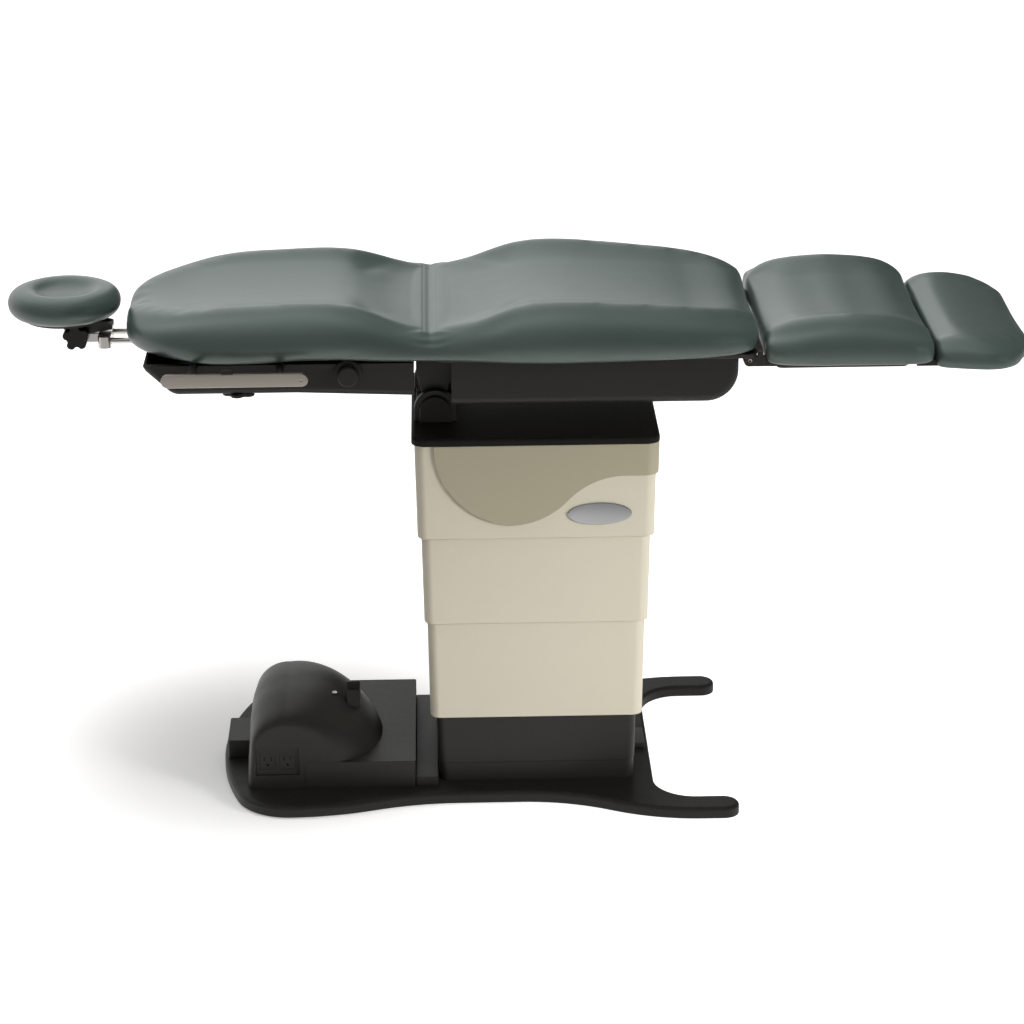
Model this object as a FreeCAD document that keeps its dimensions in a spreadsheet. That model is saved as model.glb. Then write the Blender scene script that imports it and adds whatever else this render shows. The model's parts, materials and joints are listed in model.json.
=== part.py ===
"""Powered procedure chair, raised to its top height with every section flat.

The chair stands on a low base plate. A telescoping column lifts the seat. The whole top tilts on two
stanchions, the back and the foot section hinge on the seat, and the headrest slides and tilts.
Units are millimetres. +X points to the foot end, +Y away from the photographed side, +Z up.
The origin lies on the floor, below the middle of the chair's box.
"""
import FreeCAD, Part
import Sketcher
import math
import os

from FreeCAD import Placement, Rotation, Vector

SIZES = {
    # Base plate and glides
    "glide_height": 4.0,
    "glide_radius": 18.0,
    "base_thickness": 22.0,
    "base_edge_radius": 7.0,
    "base_rear_x": -583.0,
    "base_rear_radius": 600.0,
    "base_lobe_radius": 110.0,
    "base_lobe_half": 279.0,
    "waist_start_x": -120.0,
    "waist_end_x": 0.0,
    "waist_half": 228.0,
    "prong_x": 350.0,
    "prong_outer_half": 313.0,
    "prong_width": 58.0,
    "prong_tip_x": 420.0,
    "notch_x": 262.0,
    "notch_radius": 80.0,
    # Column covers, each measured at its lower edge, all with the same draft and wall
    "column_x": 34.0,
    "cover_wall": 3.5,
    "cover_draft": 1.0,
    "cover_corner": 20.0,
    "base_half_length": 191.5,
    "base_half_width": 174.0,
    "skirt_height": 38.0,
    "skirt_inset": 1.5,
    "base_cover_reveal": 140.0,
    "base_cover_overlap": 12.0,
    "lower_half_length": 205.0,
    "lower_half_width": 184.0,
    "lower_reveal": 199.5,
    "lower_overlap": 6.5,
    "middle_half_length": 214.0,
    "middle_half_width": 192.0,
    "middle_reveal": 177.0,
    "middle_overlap": 22.5,
    "top_half_length": 224.0,
    "top_half_width": 200.0,
    "top_cover_height": 188.5,
    "cap_overhang": 5.5,
    "cap_thickness": 14.0,
    "cap_edge_radius": 6.0,
    "accent_thickness": 5.0,
    "accent_start": 192.0,
    "accent_depth": 161.0,
    "accent_collar": 63.0,
    "badge_length": 120.0,
    "badge_height": 44.0,
    "badge_thickness": 4.0,
    "badge_offset": 124.0,
    "badge_rise": 49.0,
    # Mast and lift ram
    "mast_width": 150.0,
    "mast_wall": 6.0,
    "mast_clearance": 0.5,
    "mast_height": 206.0,
    "mast_foot": 214.0,
    "flange_thickness": 4.0,
    "flange_clearance": 0.3,
    "stage_length": 209.0,
    "stage_1_drop": 2.0,
    "stage_2_extra": 4.0,
    "stage_3_extra": 25.0,
    "carriage_drop": 6.0,
    "carriage_plate": 10.0,
    "ram_radius": 40.0,
    "ram_wall": 5.0,
    "ram_clearance": 0.05,
    # Pump box, pump cover and what they carry
    "pump_box_front_x": -201.0,
    "pump_box_rear_x": -416.0,
    "pump_box_half": 195.0,
    "pump_box_height": 54.0,
    "pump_box_wall": 5.0,
    "pump_box_corner": 5.0,
    "hump_rear_x": -525.0,
    "hump_crest_x": -452.0,
    "hump_nose_x": -267.0,
    "hump_nose_swell": 100.0,
    "hump_far_y": 100.0,
    "hump_end_height": 134.0,
    "hump_crown": 28.0,
    "hump_edge": 6.0,
    "hump_wall": 4.0,
    "hump_rear_swell": 8.0,
    "hump_lean": 8.0,
    "outlet_panel_length": 84.0,
    "outlet_panel_height": 56.0,
    "outlet_panel_thickness": 5.0,
    "outlet_panel_rise": 28.0,
    "outlet_panel_sink": 4.0,
    "outlet_face_sink": 1.0,
    "outlet_panel_x": -469.0,
    "outlet_spacing": 38.1,
    "outlet_face_width": 30.0,
    "outlet_face_height": 33.0,
    "outlet_face_thickness": 4.0,
    "blade_spacing": 12.8,
    "blade_width": 2.0,
    "blade_height": 8.0,
    "blade_rise": 18.0,
    "earth_radius": 2.6,
    "earth_rise": 9.0,
    "contact_depth": 3.0,
    "motor_radius": 42.0,
    "motor_length": 140.0,
    "motor_inset": 60.0,
    "motor_rise": 8.0,
    "hook_width": 26.0,
    "hook_thickness": 5.0,
    "hook_gap": 16.0,
    "hook_back": 42.0,
    "hook_tip": 27.9,
    "hook_sink": 6.0,
    "hook_tilt": 14.0,
    "hook_x": -322.0,
    "hook_y": -85.0,
    "lamp_radius": 5.0,
    "lamp_length": 8.0,
    "lamp_proud": 2.0,
    "lamp_x": -359.0,
    "lamp_y": -84.0,
    "rear_block_length": 44.0,
    "rear_block_half": 54.0,
    "rear_block_height": 38.0,
    "inlet_width": 28.0,
    "inlet_height": 20.0,
    "inlet_depth": 20.0,
    "inlet_rise": 8.0,
    "inlet_wall": 2.0,
    "rear_block_inset": 9.0,
    "rear_block_round": 4.0,
    "bridge_height": 19.0,
    "bridge_wall": 6.0,
    "bridge_top": 4.0,
    "front_bracket_half": 38.0,
    "front_bracket_height": 10.0,
    "front_bracket_gap": 8.0,
    "front_bracket_round": 3.0,
    # Tilt stanchions
    "tilt_x": -153.0,
    "tilt_rise": 21.0,
    "tilt_pin_radius": 10.0,
    "pin_clearance": 0.05,
    "stanchion_inner": 86.0,
    "stanchion_thickness": 16.0,
    "stanchion_radius": 40.0,
    "stanchion_cover_radius": 30.0,
    "stanchion_cover_thickness": 8.0,
    "stanchion_cover_round": 2.5,
    "tie_inset": 36.0,
    "tie_width": 20.0,
    "tie_height": 6.0,
    "post_back": 11.0,
    "post_width": 26.0,
    "lug_thickness": 18.0,
    "lug_radius": 18.0,
    "side_gap": 1.0,
    "cut_past": 1.0,
    # Seat
    "pan_gap": 63.0,
    "pan_height": 92.0,
    "pan_half": 205.0,
    "pan_rear_gap": 38.0,
    "pan_front_inset": 37.0,
    "pan_wall": 4.0,
    "pan_corner": 60.0,
    "pan_edge": 18.0,
    "board_thickness": 8.0,
    "board_half": 222.0,
    "board_gap": 9.0,
    "board_corner": 20.0,
    "rib_depth": 20.0,
    "rib_start": 10.0,
    "rib_end": 50.0,
    "lug_shoulder": 70.0,
    "lug_toe": 40.0,
    "lug_rear_gap": 4.0,
    "lug_top_gap": 4.0,
    "lug_floor_gap": 2.0,
    "slot_side": 8.0,
    "slot_room": 3.0,
    # Crease hinge between seat and back
    "crease_x": -160.0,
    "crease_axis_rise": 32.0,
    "crease_fall": 16.0,
    "crease_open": 40.5,
    "recline_pin_radius": 6.0,
    "hinge_plate": 6.0,
    "hinge_plate_y": 181.0,
    "hinge_eye": 12.5,
    "hinge_foot_near": 11.0,
    "hinge_foot_far": 52.0,
    "pad_relief": 1.5,
    # Seat pad and back pad
    "crease_rim_half": 214.0,
    "crease_base_half": 243.0,
    "seat_length": 608.0,
    "seat_crest": 100.0,
    "seat_crest_at": 205.0,
    "seat_end_fall": 34.0,
    "seat_rim_half": 210.0,
    "seat_base_half": 270.0,
    "seat_end_round": 110.0,
    "back_length": 573.0,
    "back_crest": 98.0,
    "back_crest_at": 178.0,
    "back_plateau": 90.0,
    "back_end_fall": 30.0,
    "back_rim_half": 183.0,
    "back_base_half": 246.0,
    "back_end_round": 310.0,
    "pad_dish": 12.0,
    "pad_belly": 12.0,
    "pad_belly_rise": 26.0,
    "pad_rim_round": 26.0,
    # Back housing, rails and knobs
    "housing_depth": 58.0,
    "housing_half": 220.0,
    "housing_front_gap": 32.0,
    "housing_end_inset": 45.0,
    "housing_slant": 62.0,
    "housing_wall": 4.0,
    "housing_edge": 14.0,
    "housing_lip": 14.0,
    "housing_lean": 6.0,
    "housing_heel": 18.0,
    "housing_heel_rise": 8.0,
    "housing_fall": 8.0,
    "housing_fall_run": 248.0,
    "back_board_half": 200.0,
    "back_board_gap": 5.0,
    "back_board_inset": 78.0,
    "back_board_round": 120.0,
    "rail_length": 267.0,
    "rail_height": 25.0,
    "rail_thickness": 10.0,
    "rail_run": 355.5,
    "rail_round": 1.5,
    "rail_rise": 9.5,
    "rail_outer": 302.0,
    "standoff_radius": 8.0,
    "standoff_spacing": 160.0,
    "lock_knob_run": 152.0,
    "lock_knob_drop": 18.0,
    "lock_knob_radius": 19.0,
    "lock_knob_length": 20.0,
    "lock_boss_radius": 26.0,
    "lock_boss_length": 6.0,
    "lock_knob_round": 3.0,
    "stem_radius": 8.0,
    "stem_length": 18.0,
    "rod_lock_run": 354.0,
    "rod_lock_stem": 8.0,
    "rod_lock_y": -185.0,
    "rod_lock_radius": 33.0,
    "rod_lock_height": 7.0,
    "face_gap": 0.3,
    # Headrest
    "rod_radius": 6.0,
    "rod_half_spacing": 29.0,
    "rod_drop": 10.0,
    "rod_run": 270.0,
    "rod_clearance": 0.08,
    "rod_guide_length": 70.0,
    "rod_guide_inset": 16.0,
    "cross_block_gap": 41.0,
    "cross_block_length": 24.0,
    "cross_block_half": 44.0,
    "cross_block_height": 22.0,
    "cross_block_round": 9.0,
    "cross_neck_height": 16.0,
    "head_axis_offset": 22.0,
    "head_axis_rise": 10.0,
    "head_pin_radius": 5.0,
    "head_lug_half": 10.0,
    "head_lug_radius": 12.0,
    "head_ear": 8.0,
    "head_ear_reach": 46.0,
    "head_ear_shoulder": 27.0,
    "head_web_reach": 67.0,
    "head_web_rise": 12.0,
    "head_web_thickness": 6.0,
    "head_web_step": 3.0,
    "head_plate_radius": 78.0,
    "head_plate_thickness": 6.0,
    "head_plate_rise": 40.0,
    "head_gap": 12.0,
    "head_radius": 106.0,
    "head_thickness": 52.0,
    "head_dish_radius": 52.0,
    "head_dish_depth": 26.0,
    "star_knob_radius": 25.0,
    "star_knob_length": 24.0,
    # Foot section
    "foot_axis_inset": 17.0,
    "foot_axis_drop": 12.0,
    "foot_pin_radius": 5.0,
    "foot_ear_y": 178.0,
    "foot_ear_thickness": 10.0,
    "foot_eye": 12.0,
    "foot_arm_length": 58.0,
    "foot_arm_eye": 11.0,
    "foot_arm_thickness": 10.0,
    "foot_tab_gap": 2.0,
    "pin_proud": 2.0,
    "foot_board_drop": 4.0,
    "foot_board_thickness": 10.0,
    "foot_board_half": 222.0,
    "foot_board_start": 6.0,
    "foot_board_end": 11.0,
    "foot_board_corner": 16.0,
    "foot_pan_depth": 14.0,
    "foot_pan_half": 200.0,
    "foot_pan_start": 18.0,
    "foot_pan_end": 42.0,
    "foot_pan_corner": 12.0,
    "foot_pan_round": 5.0,
    "foot_pan_wall": 4.0,
    "foot_gap": 8.0,
    "foot_length": 313.0,
    "foot_crest": 77.0,
    "foot_end_fall": 22.0,
    "foot_rim_half": 200.0,
    "foot_base_half": 246.0,
    "foot_end_round": 66.0,
    # Foot extension
    "extension_gap": 5.0,
    "extension_length": 183.0,
    "extension_drop": 12.0,
    "extension_crest": 48.0,
    "extension_end_fall": 10.0,
    "extension_rim_half": 205.0,
    "extension_base_half": 236.0,
    "extension_end_round": 165.0,
    "extension_board_thickness": 8.0,
    "extension_board_inset": 28.0,
    "extension_tongue": 34.0,
    "slide_width": 30.0,
    "slide_height": 6.0,
    "slide_end_gap": 4.0,
    "slide_y": 120.0,
    "handle_start": 46.0,
    "handle_length": 77.0,
    "handle_half": 190.0,
    "handle_depth": 14.0,
    "handle_corner": 20.0,
    "handle_round": 6.0,
    # Actuators and their slotted rod heads
    "actuator_radius": 16.0,
    "actuator_length": 210.0,
    "actuator_rod_radius": 7.0,
    "actuator_clearance": 0.06,
    "actuator_end": 12.0,
    "hanger_length": 34.0,
    "hanger_width": 24.0,
    "drive_motor_length": 46.0,
    "drive_motor_swell": 5.0,
    "drive_motor_gap": 4.0,
    "drive_pin_radius": 6.0,
    "drive_slot_clearance": 2.2,
    "yoke_thickness": 10.0,
    "yoke_half_length": 15.0,
    "yoke_wall": 7.0,
    "lever_thickness": 12.0,
    "lever_gap": 3.0,
    "lever_eye": 11.0,
    "back_lever": 85.0,
    "back_lever_root": 80.0,
    "back_lever_neck": 50.0,
    "back_actuator_run": 95.0,
    "back_rod_inside": 160.0,
    "back_swing": 40.0,
    "back_drive_y": -60.0,
    "tilt_lever": 82.0,
    "tilt_swing": 15.0,
    "tilt_drive_y": 60.0,
    "tilt_actuator_run": 75.0,
    "tilt_rod_inside": 110.0,
    "foot_lever": 50.0,
    "foot_lever_eye": 9.0,
    "foot_lever_root": 40.0,
    "foot_actuator_run": 68.0,
    "foot_rod_inside": 120.0,
    "foot_swing": 45.0,
    "foot_drive_y": -14.0,
}

doc = FreeCAD.newDocument("procedure_chair")
sheet = doc.addObject("Spreadsheet::Sheet", "Sizes")
for row, (alias, amount) in enumerate(SIZES.items(), start=1):
    sheet.set(f"A{row}", alias)
    sheet.set(f"B{row}", str(amount))
    sheet.setAlias(f"B{row}", alias)
doc.recompute()

finished = []


def num(expression):
    """Value of an expression in the names of the sheet."""
    return float(sheet.evalExpression(expression))


def size(alias):
    """Value of one cell of the sheet."""
    return num("Sizes." + alias)


def bind(item, **sizes):
    """Bind properties to expressions; a double underscore stands for a dot."""
    for name, expression in sizes.items():
        item.setExpression(name.replace("__", "."), expression)


def node(item, label):
    """Name a finished sub-part and list it for export."""
    item.Label = label
    finished.append(item)
    return item


# Levels and places that several pieces share, as expressions of the sheet's cells
DECK = "(Sizes.glide_height + Sizes.base_thickness)"
LOWER_Z = f"({DECK} + Sizes.base_cover_reveal)"
MIDDLE_Z = f"({LOWER_Z} + Sizes.lower_reveal)"
TOP_Z = f"({MIDDLE_Z} + Sizes.middle_reveal)"
CAP_Z = f"({TOP_Z} + Sizes.top_cover_height)"
CAP_TOP = f"({CAP_Z} + Sizes.cap_thickness)"
TILT_Z = f"({CAP_TOP} + Sizes.tilt_rise)"
PAN_Z = f"({CAP_TOP} + Sizes.pan_gap)"
BOARD_Z = f"({PAN_Z} + Sizes.pan_height)"
PAD_Z = f"({BOARD_Z} + Sizes.board_thickness)"
CREASE_Z = f"({PAD_Z} + Sizes.crease_axis_rise)"
FOOT_Z = f"({BOARD_Z} - Sizes.foot_axis_drop)"
FOOT_PAD_Z = f"({BOARD_Z} - Sizes.foot_board_drop)"
SEAT_END_X = "(Sizes.crease_x + Sizes.seat_length)"
PAN_REAR_X = "(Sizes.crease_x + Sizes.pan_rear_gap)"
PAN_FRONT_X = f"({SEAT_END_X} - Sizes.pan_front_inset)"
FOOT_X = f"({SEAT_END_X} - Sizes.foot_axis_inset)"
FOOT_START_X = f"({SEAT_END_X} + Sizes.foot_gap)"
FOOT_END_X = f"({FOOT_START_X} + Sizes.foot_length)"
FOOT_BOARD_X = f"({FOOT_START_X} + Sizes.foot_board_start)"
FOOT_BOARD_Z = f"({FOOT_PAD_Z} - Sizes.foot_board_thickness)"
FOOT_PAN_X = f"({FOOT_BOARD_X} + Sizes.foot_pan_start)"
EXTENSION_X = f"({FOOT_END_X} + Sizes.extension_gap)"
EXTENSION_Z = f"({FOOT_PAD_Z} - Sizes.extension_drop)"
BACK_END_X = "(Sizes.crease_x - Sizes.back_length)"
HEAD_CENTRE_X = f"({BACK_END_X} - Sizes.head_gap - Sizes.head_radius)"
HEAD_X = f"({HEAD_CENTRE_X} + Sizes.head_axis_offset)"
CROSS_X = f"({HEAD_X} + Sizes.cross_block_gap)"
ROD_Z = f"({BOARD_Z} - Sizes.rod_drop)"
HEAD_Z = f"({ROD_Z} + Sizes.head_axis_rise)"
HOUSING_X = "(Sizes.crease_x - Sizes.housing_front_gap)"
HOUSING_REAR_X = f"({BACK_END_X} + Sizes.housing_end_inset)"
HOUSING_Z = f"({BOARD_Z} - Sizes.housing_depth)"
RAIL_X = "(Sizes.crease_x - Sizes.rail_run)"
KNOB_X = "(Sizes.crease_x - Sizes.lock_knob_run)"
KNOB_Z = f"({BOARD_Z} - Sizes.lock_knob_drop)"
ROD_LOCK_X = "(Sizes.crease_x - Sizes.rod_lock_run)"
HEAD_REACH = "(Sizes.drive_pin_radius + Sizes.drive_slot_clearance + Sizes.yoke_wall)"
DRIVE_PIN = "(Sizes.lever_thickness + 2 * Sizes.lever_gap + Sizes.yoke_thickness)"
DRAFT = "tan(Sizes.cover_draft * 1 deg)"


def box(name, x, y, z, length, width, height):
    """Block with its low corner at x, y, z."""
    item = doc.addObject("Part::Box", name)
    bind(item, Length=length, Width=width, Height=height)
    bind(item, Placement__Base__x=x, Placement__Base__y=y, Placement__Base__z=z)
    return item


AXIS_TURN = {
    "X": Rotation(Vector(0, 1, 0), 90),
    "Y": Rotation(Vector(1, 0, 0), -90),
    "Z": Rotation(),
}


def cylinder(name, axis, x, y, z, radius, length):
    """Round bar that starts at x, y, z and runs along +axis."""
    item = doc.addObject("Part::Cylinder", name)
    bind(item, Radius=radius, Height=length)
    item.Placement = Placement(Vector(), AXIS_TURN[axis])
    bind(item, Placement__Base__x=x, Placement__Base__y=y, Placement__Base__z=z)
    return item


def fuse(name, *items):
    """One solid from several."""
    item = doc.addObject("Part::MultiFuse", name)
    item.Shapes = list(items)
    item.Refine = True
    return item


def cut(name, base, *tools):
    """Base less each tool in turn."""
    item = base
    for count, tool in enumerate(tools, start=1):
        before = item
        item = doc.addObject("Part::Cut", name if count == len(tools) else f"{name}_step_{count}")
        item.Base = before
        item.Tool = tool
    return item


def common(name, first, second):
    """What two solids share."""
    item = doc.addObject("Part::Common", name)
    item.Base = first
    item.Tool = second
    return item


def mirrored(name, item):
    """The same piece on the other side of the chair."""
    twin = doc.addObject("Part::Mirroring", name)
    twin.Source = item
    twin.Normal = Vector(0, 1, 0)
    return twin


def group(name, *items):
    """Separate solids that share a node."""
    item = doc.addObject("Part::Compound", name)
    item.Links = list(items)
    return item


def pair(name, item):
    """A piece and its twin across the chair."""
    return group(name, item, mirrored(name + "_twin", item))


def solid(name, shape):
    """Sub-part whose form is set from Part's own functions."""
    item = doc.addObject("Part::Feature", name)
    item.Shape = shape
    return item


def chain(points, closed=True):
    """Straight sketch lines from point to point."""
    ends = points[1:] + points[:1] if closed else points[1:]
    return [Part.LineSegment(Vector(*a), Vector(*b)) for a, b in zip(points, ends)]


def arc(start, middle, end):
    """Sketch arc through three points."""
    return Part.Arc(Vector(*start), Vector(*middle), Vector(*end))


def sketch_on(body, name, plane, lines, offset=None):
    """Sketch of the given lines on one of the body's own planes."""
    sketch = body.newObject("Sketcher::SketchObject", name)
    support = [item for item in body.Origin.OriginFeatures if item.Role == plane][0]
    sketch.AttachmentSupport = [(support, "")]
    sketch.MapMode = "FlatFace"
    if offset:
        bind(sketch, AttachmentOffset__Base__z=offset)
    for line in lines:
        sketch.addGeometry(line, False)
    return sketch


def rectangle_on(body, name, centre_x, length, width, offset):
    """Rectangle about a point of the X axis, in a level plane, with bound sides."""
    half_x, half_y, middle = num(length) / 2, num(width) / 2, num(centre_x)
    corners = [(middle - half_x, -half_y), (middle + half_x, -half_y),
               (middle + half_x, half_y), (middle - half_x, half_y)]
    sketch = sketch_on(body, name, "XY_Plane", chain(corners), offset)
    for side in range(4):
        sketch.addConstraint(Sketcher.Constraint("Coincident", side, 2, (side + 1) % 4, 1))
        kind = "Horizontal" if side % 2 == 0 else "Vertical"
        sketch.addConstraint(Sketcher.Constraint(kind, side))
    bound = {"length": (("DistanceX", 0, 1, 0, 2, 2 * half_x), length),
             "width": (("DistanceY", 1, 1, 1, 2, 2 * half_y), width),
             "left": (("DistanceX", -1, 1, 0, 1, middle - half_x), f"{centre_x} - {length} / 2"),
             "near": (("DistanceY", 0, 1, -1, 1, half_y), f"{width} / 2")}
    for label, (constraint, expression) in bound.items():
        index = sketch.addConstraint(Sketcher.Constraint(*constraint))
        sketch.renameConstraint(index, label)
        bind(sketch, **{"Constraints__" + label: expression})
    return sketch


def pad(body, sketch, length, symmetric=False, taper=None):
    """Pad of a sketch."""
    item = body.newObject("PartDesign::Pad", sketch.Name + "_pad")
    item.Profile = sketch
    if symmetric:
        item.SideType = "Symmetric"
    bind(item, Length=length)
    if taper:
        bind(item, TaperAngle=taper)
    doc.recompute()
    return item


def fillet(body, feature, radius, wanted):
    """Round the edges that the test picks."""
    names = [f"Edge{i}" for i, edge in enumerate(feature.Shape.Edges, start=1) if wanted(edge)]
    item = body.newObject("PartDesign::Fillet", feature.Name + "_round")
    item.Base = (feature, names)
    bind(item, Radius=radius)
    doc.recompute()
    return item


def pocket(body, sketch, depth, reverse=False, symmetric=False):
    """Pocket of a sketch, which has to take material away."""
    before = body.Shape.Volume
    item = body.newObject("PartDesign::Pocket", sketch.Name + "_pocket")
    item.Profile = sketch
    item.Reversed = reverse
    if symmetric:
        item.SideType = "Symmetric"
    bind(item, Length=depth)
    doc.recompute()
    if body.Shape.Volume > before - 1.0:
        raise RuntimeError(f"{sketch.Name} cuts nothing")
    return item


def upright(edge):
    """True for an edge that runs from a low level to a high one."""
    span = edge.BoundBox
    return span.ZLength > 4 * max(span.XLength, span.YLength)


def level_at(height):
    """Test for edges that lie at one height."""
    return lambda edge: abs(edge.BoundBox.ZMin - height) < 0.01 and edge.BoundBox.ZLength < 0.01


def new_body(name):
    """Empty PartDesign body."""
    return doc.addObject("PartDesign::Body", name)


def tapered_block(name, length, width, low, high, corner):
    """Block about the column's axis that widens upwards by the covers' draft."""
    body = new_body(name)
    sketch = rectangle_on(body, name + "_outline", "Sizes.column_x", length, width, low)
    block = pad(body, sketch, f"{high} - {low}", taper="Sizes.cover_draft")
    fillet(body, block, corner, upright)
    return body


def cover_shell(name, half_length, half_width, low, high):
    """Open column cover: drafted outside and a parallel inside."""
    outside = tapered_block(name + "_outside", f"2 * {half_length}", f"2 * {half_width}", low, high,
                            "Sizes.cover_corner")
    inside = tapered_block(name + "_inside", f"2 * ({half_length} - Sizes.cover_wall)",
                           f"2 * ({half_width} - Sizes.cover_wall)", low, high,
                           "Sizes.cover_corner - Sizes.cover_wall")
    return cut(name, outside, inside), outside


def inner_half(half, low, level):
    """Half size of a cover's inside at a level."""
    return f"({half} - Sizes.cover_wall + ({level} - {low}) * {DRAFT})"


def s_bend(start, end):
    """Two equal arcs from one point to another, both running along X at their ends."""
    rise, run = end[1] - start[1], end[0] - start[0]
    radius = (run * run + rise * rise) / (4 * abs(rise))
    half_turn = math.asin(run / (2 * radius)) / 2
    side, sag = radius * math.sin(half_turn), radius * (1 - math.cos(half_turn))
    way = 1 if rise > 0 else -1
    middle = ((start[0] + end[0]) / 2, (start[1] + end[1]) / 2)
    return [arc(start, (start[0] + side, start[1] + way * sag), middle),
            arc(middle, (end[0] - side, end[1] - way * sag), end)]


def lobe_centre():
    """Middle of the rear lobe's corner arc, which runs into the wide rear arc without a kink."""
    wide, tight, half = size("base_rear_radius"), size("base_lobe_radius"), size("base_lobe_half")
    wide_x = size("base_rear_x") + wide
    return wide_x - math.sqrt((wide - tight) ** 2 - (half - tight) ** 2), half - tight


def base_outline():
    """Plan of the base plate: rounded rear lobe, waist, and two round-ended prongs beside a notch."""
    wide, tight = size("base_rear_radius"), size("base_lobe_radius")
    lobe, waist, outer = size("base_lobe_half"), size("waist_half"), size("prong_outer_half")
    inner = outer - size("prong_width")
    rear, notch, corner = size("base_rear_x"), size("notch_x"), size("notch_radius")
    tip_radius = size("prong_width") / 2
    tip_x = size("prong_tip_x") - tip_radius
    lobe_x, lobe_y = lobe_centre()
    share = wide / (wide - tight)
    joint = (rear + wide + share * (lobe_x - rear - wide), share * lobe_y)
    turn = (math.pi / 2 + math.atan2(joint[1] - lobe_y, joint[0] - lobe_x)) / 2
    bend = corner * (1 - math.sqrt(0.5))

    def half(way):
        """One side's lines, from the rear arc to the notch."""
        def at(x, y):
            return (x, way * y)
        return [
            arc(at(*joint), at(lobe_x + tight * math.cos(turn), lobe_y + tight * math.sin(turn)),
                at(lobe_x, lobe)),
            *s_bend(at(lobe_x, lobe), at(size("waist_start_x"), waist)),
            *chain([at(size("waist_start_x"), waist), at(size("waist_end_x"), waist)], closed=False),
            *s_bend(at(size("waist_end_x"), waist), at(size("prong_x"), outer)),
            *chain([at(size("prong_x"), outer), at(tip_x, outer)], closed=False),
            arc(at(tip_x, outer), at(tip_x + tip_radius, outer - tip_radius), at(tip_x, inner)),
            *chain([at(tip_x, inner), at(notch + corner, inner)], closed=False),
            arc(at(notch + corner, inner), at(notch + bend, inner - bend), at(notch, inner - corner)),
        ]

    inner_end = chain([(notch, corner - inner), (notch, inner - corner)], closed=False)
    back = arc((joint[0], -joint[1]), (rear, 0), joint)
    return half(-1) + half(1) + inner_end + [back]


def build_base():
    """Base plate, glides and the small covers that stand on it."""
    plate = new_body("base_plate")
    outline = sketch_on(plate, "base_outline", "XY_Plane", base_outline(), "Sizes.glide_height")
    slab = pad(plate, outline, "Sizes.base_thickness")
    fillet(plate, slab, "Sizes.base_edge_radius", level_at(num(DECK)))
    node(plate, "base_plate")

    foot_y = "(Sizes.prong_outer_half - Sizes.prong_width / 2)"
    rear_y = "(Sizes.base_lobe_half - 3 * Sizes.glide_radius)"
    glides = []
    places = {"front": ("Sizes.prong_x", foot_y), "rear": (str(lobe_centre()[0]), rear_y)}
    for place, (x, y) in places.items():
        glides.append(cylinder("glide_" + place, "Z", x, y, "0", "Sizes.glide_radius", "Sizes.glide_height"))
    twins = [mirrored(glide.Name + "_twin", glide) for glide in glides]
    node(group("leveling_glides", *glides, *twins), "leveling_glides")

    span = "(Sizes.column_x - Sizes.base_half_length - Sizes.pump_box_front_x)"
    bridge = box("bridge_block", "Sizes.pump_box_front_x", "-Sizes.pump_box_half", DECK, span,
                 "2 * Sizes.pump_box_half", "Sizes.bridge_height")
    relief = box("bridge_relief", "Sizes.pump_box_front_x + Sizes.bridge_wall",
                 "-Sizes.pump_box_half + Sizes.bridge_wall", DECK, f"{span} - 2 * Sizes.bridge_wall",
                 "2 * (Sizes.pump_box_half - Sizes.bridge_wall)", "Sizes.bridge_height - Sizes.bridge_top")
    node(cut("bridge_cover", bridge, relief), "bridge_cover")

    start = "(Sizes.column_x + Sizes.base_half_length)"
    finish = "(Sizes.notch_x - Sizes.front_bracket_gap)"
    bracket = new_body("front_bracket")
    plan = rectangle_on(bracket, "bracket_outline", f"({start} + {finish}) / 2", f"({finish} - {start})",
                        "2 * Sizes.front_bracket_half", DECK)
    block = pad(bracket, plan, "Sizes.front_bracket_height")
    fillet(bracket, block, "Sizes.front_bracket_round", level_at(num(DECK) + size("front_bracket_height")))
    node(bracket, "front_bracket")


def build_covers():
    """Skirt and the four telescoping covers, cap, accent panel and badge plate."""
    skirt_top = f"({DECK} + Sizes.skirt_height)"
    skirt, _ = cover_shell("base_skirt", "(Sizes.base_half_length - Sizes.skirt_inset)",
                           "(Sizes.base_half_width - Sizes.skirt_inset)", DECK, skirt_top)
    node(skirt, "base_skirt")
    base, _ = cover_shell("base_cover", "Sizes.base_half_length", "Sizes.base_half_width", skirt_top,
                          f"({LOWER_Z} + Sizes.base_cover_overlap)")
    node(base, "base_cover")
    lower, _ = cover_shell("lower_cover", "Sizes.lower_half_length", "Sizes.lower_half_width", LOWER_Z,
                           f"({MIDDLE_Z} + Sizes.lower_overlap)")
    node(lower, "lower_cover")
    middle, _ = cover_shell("middle_cover", "Sizes.middle_half_length", "Sizes.middle_half_width", MIDDLE_Z,
                            f"({TOP_Z} + Sizes.middle_overlap)")
    node(middle, "middle_cover")
    top, top_block = cover_shell("top_cover", "Sizes.top_half_length", "Sizes.top_half_width", TOP_Z, CAP_Z)
    node(top, "top_cover")
    build_accent(top_block)
    build_badge(top_block)

    grow = f"(Sizes.top_cover_height * {DRAFT} + Sizes.cap_overhang)"
    cap = new_body("top_cap")
    plan = rectangle_on(cap, "cap_outline", "Sizes.column_x", f"2 * (Sizes.top_half_length + {grow})",
                        f"2 * (Sizes.top_half_width + {grow})", CAP_Z)
    slab = pad(cap, plan, "Sizes.cap_thickness")
    corners = fillet(cap, slab, "Sizes.cover_corner + Sizes.cap_overhang", upright)
    fillet(cap, corners, "Sizes.cap_edge_radius", level_at(num(CAP_TOP)))
    node(cap, "top_cap")


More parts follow.
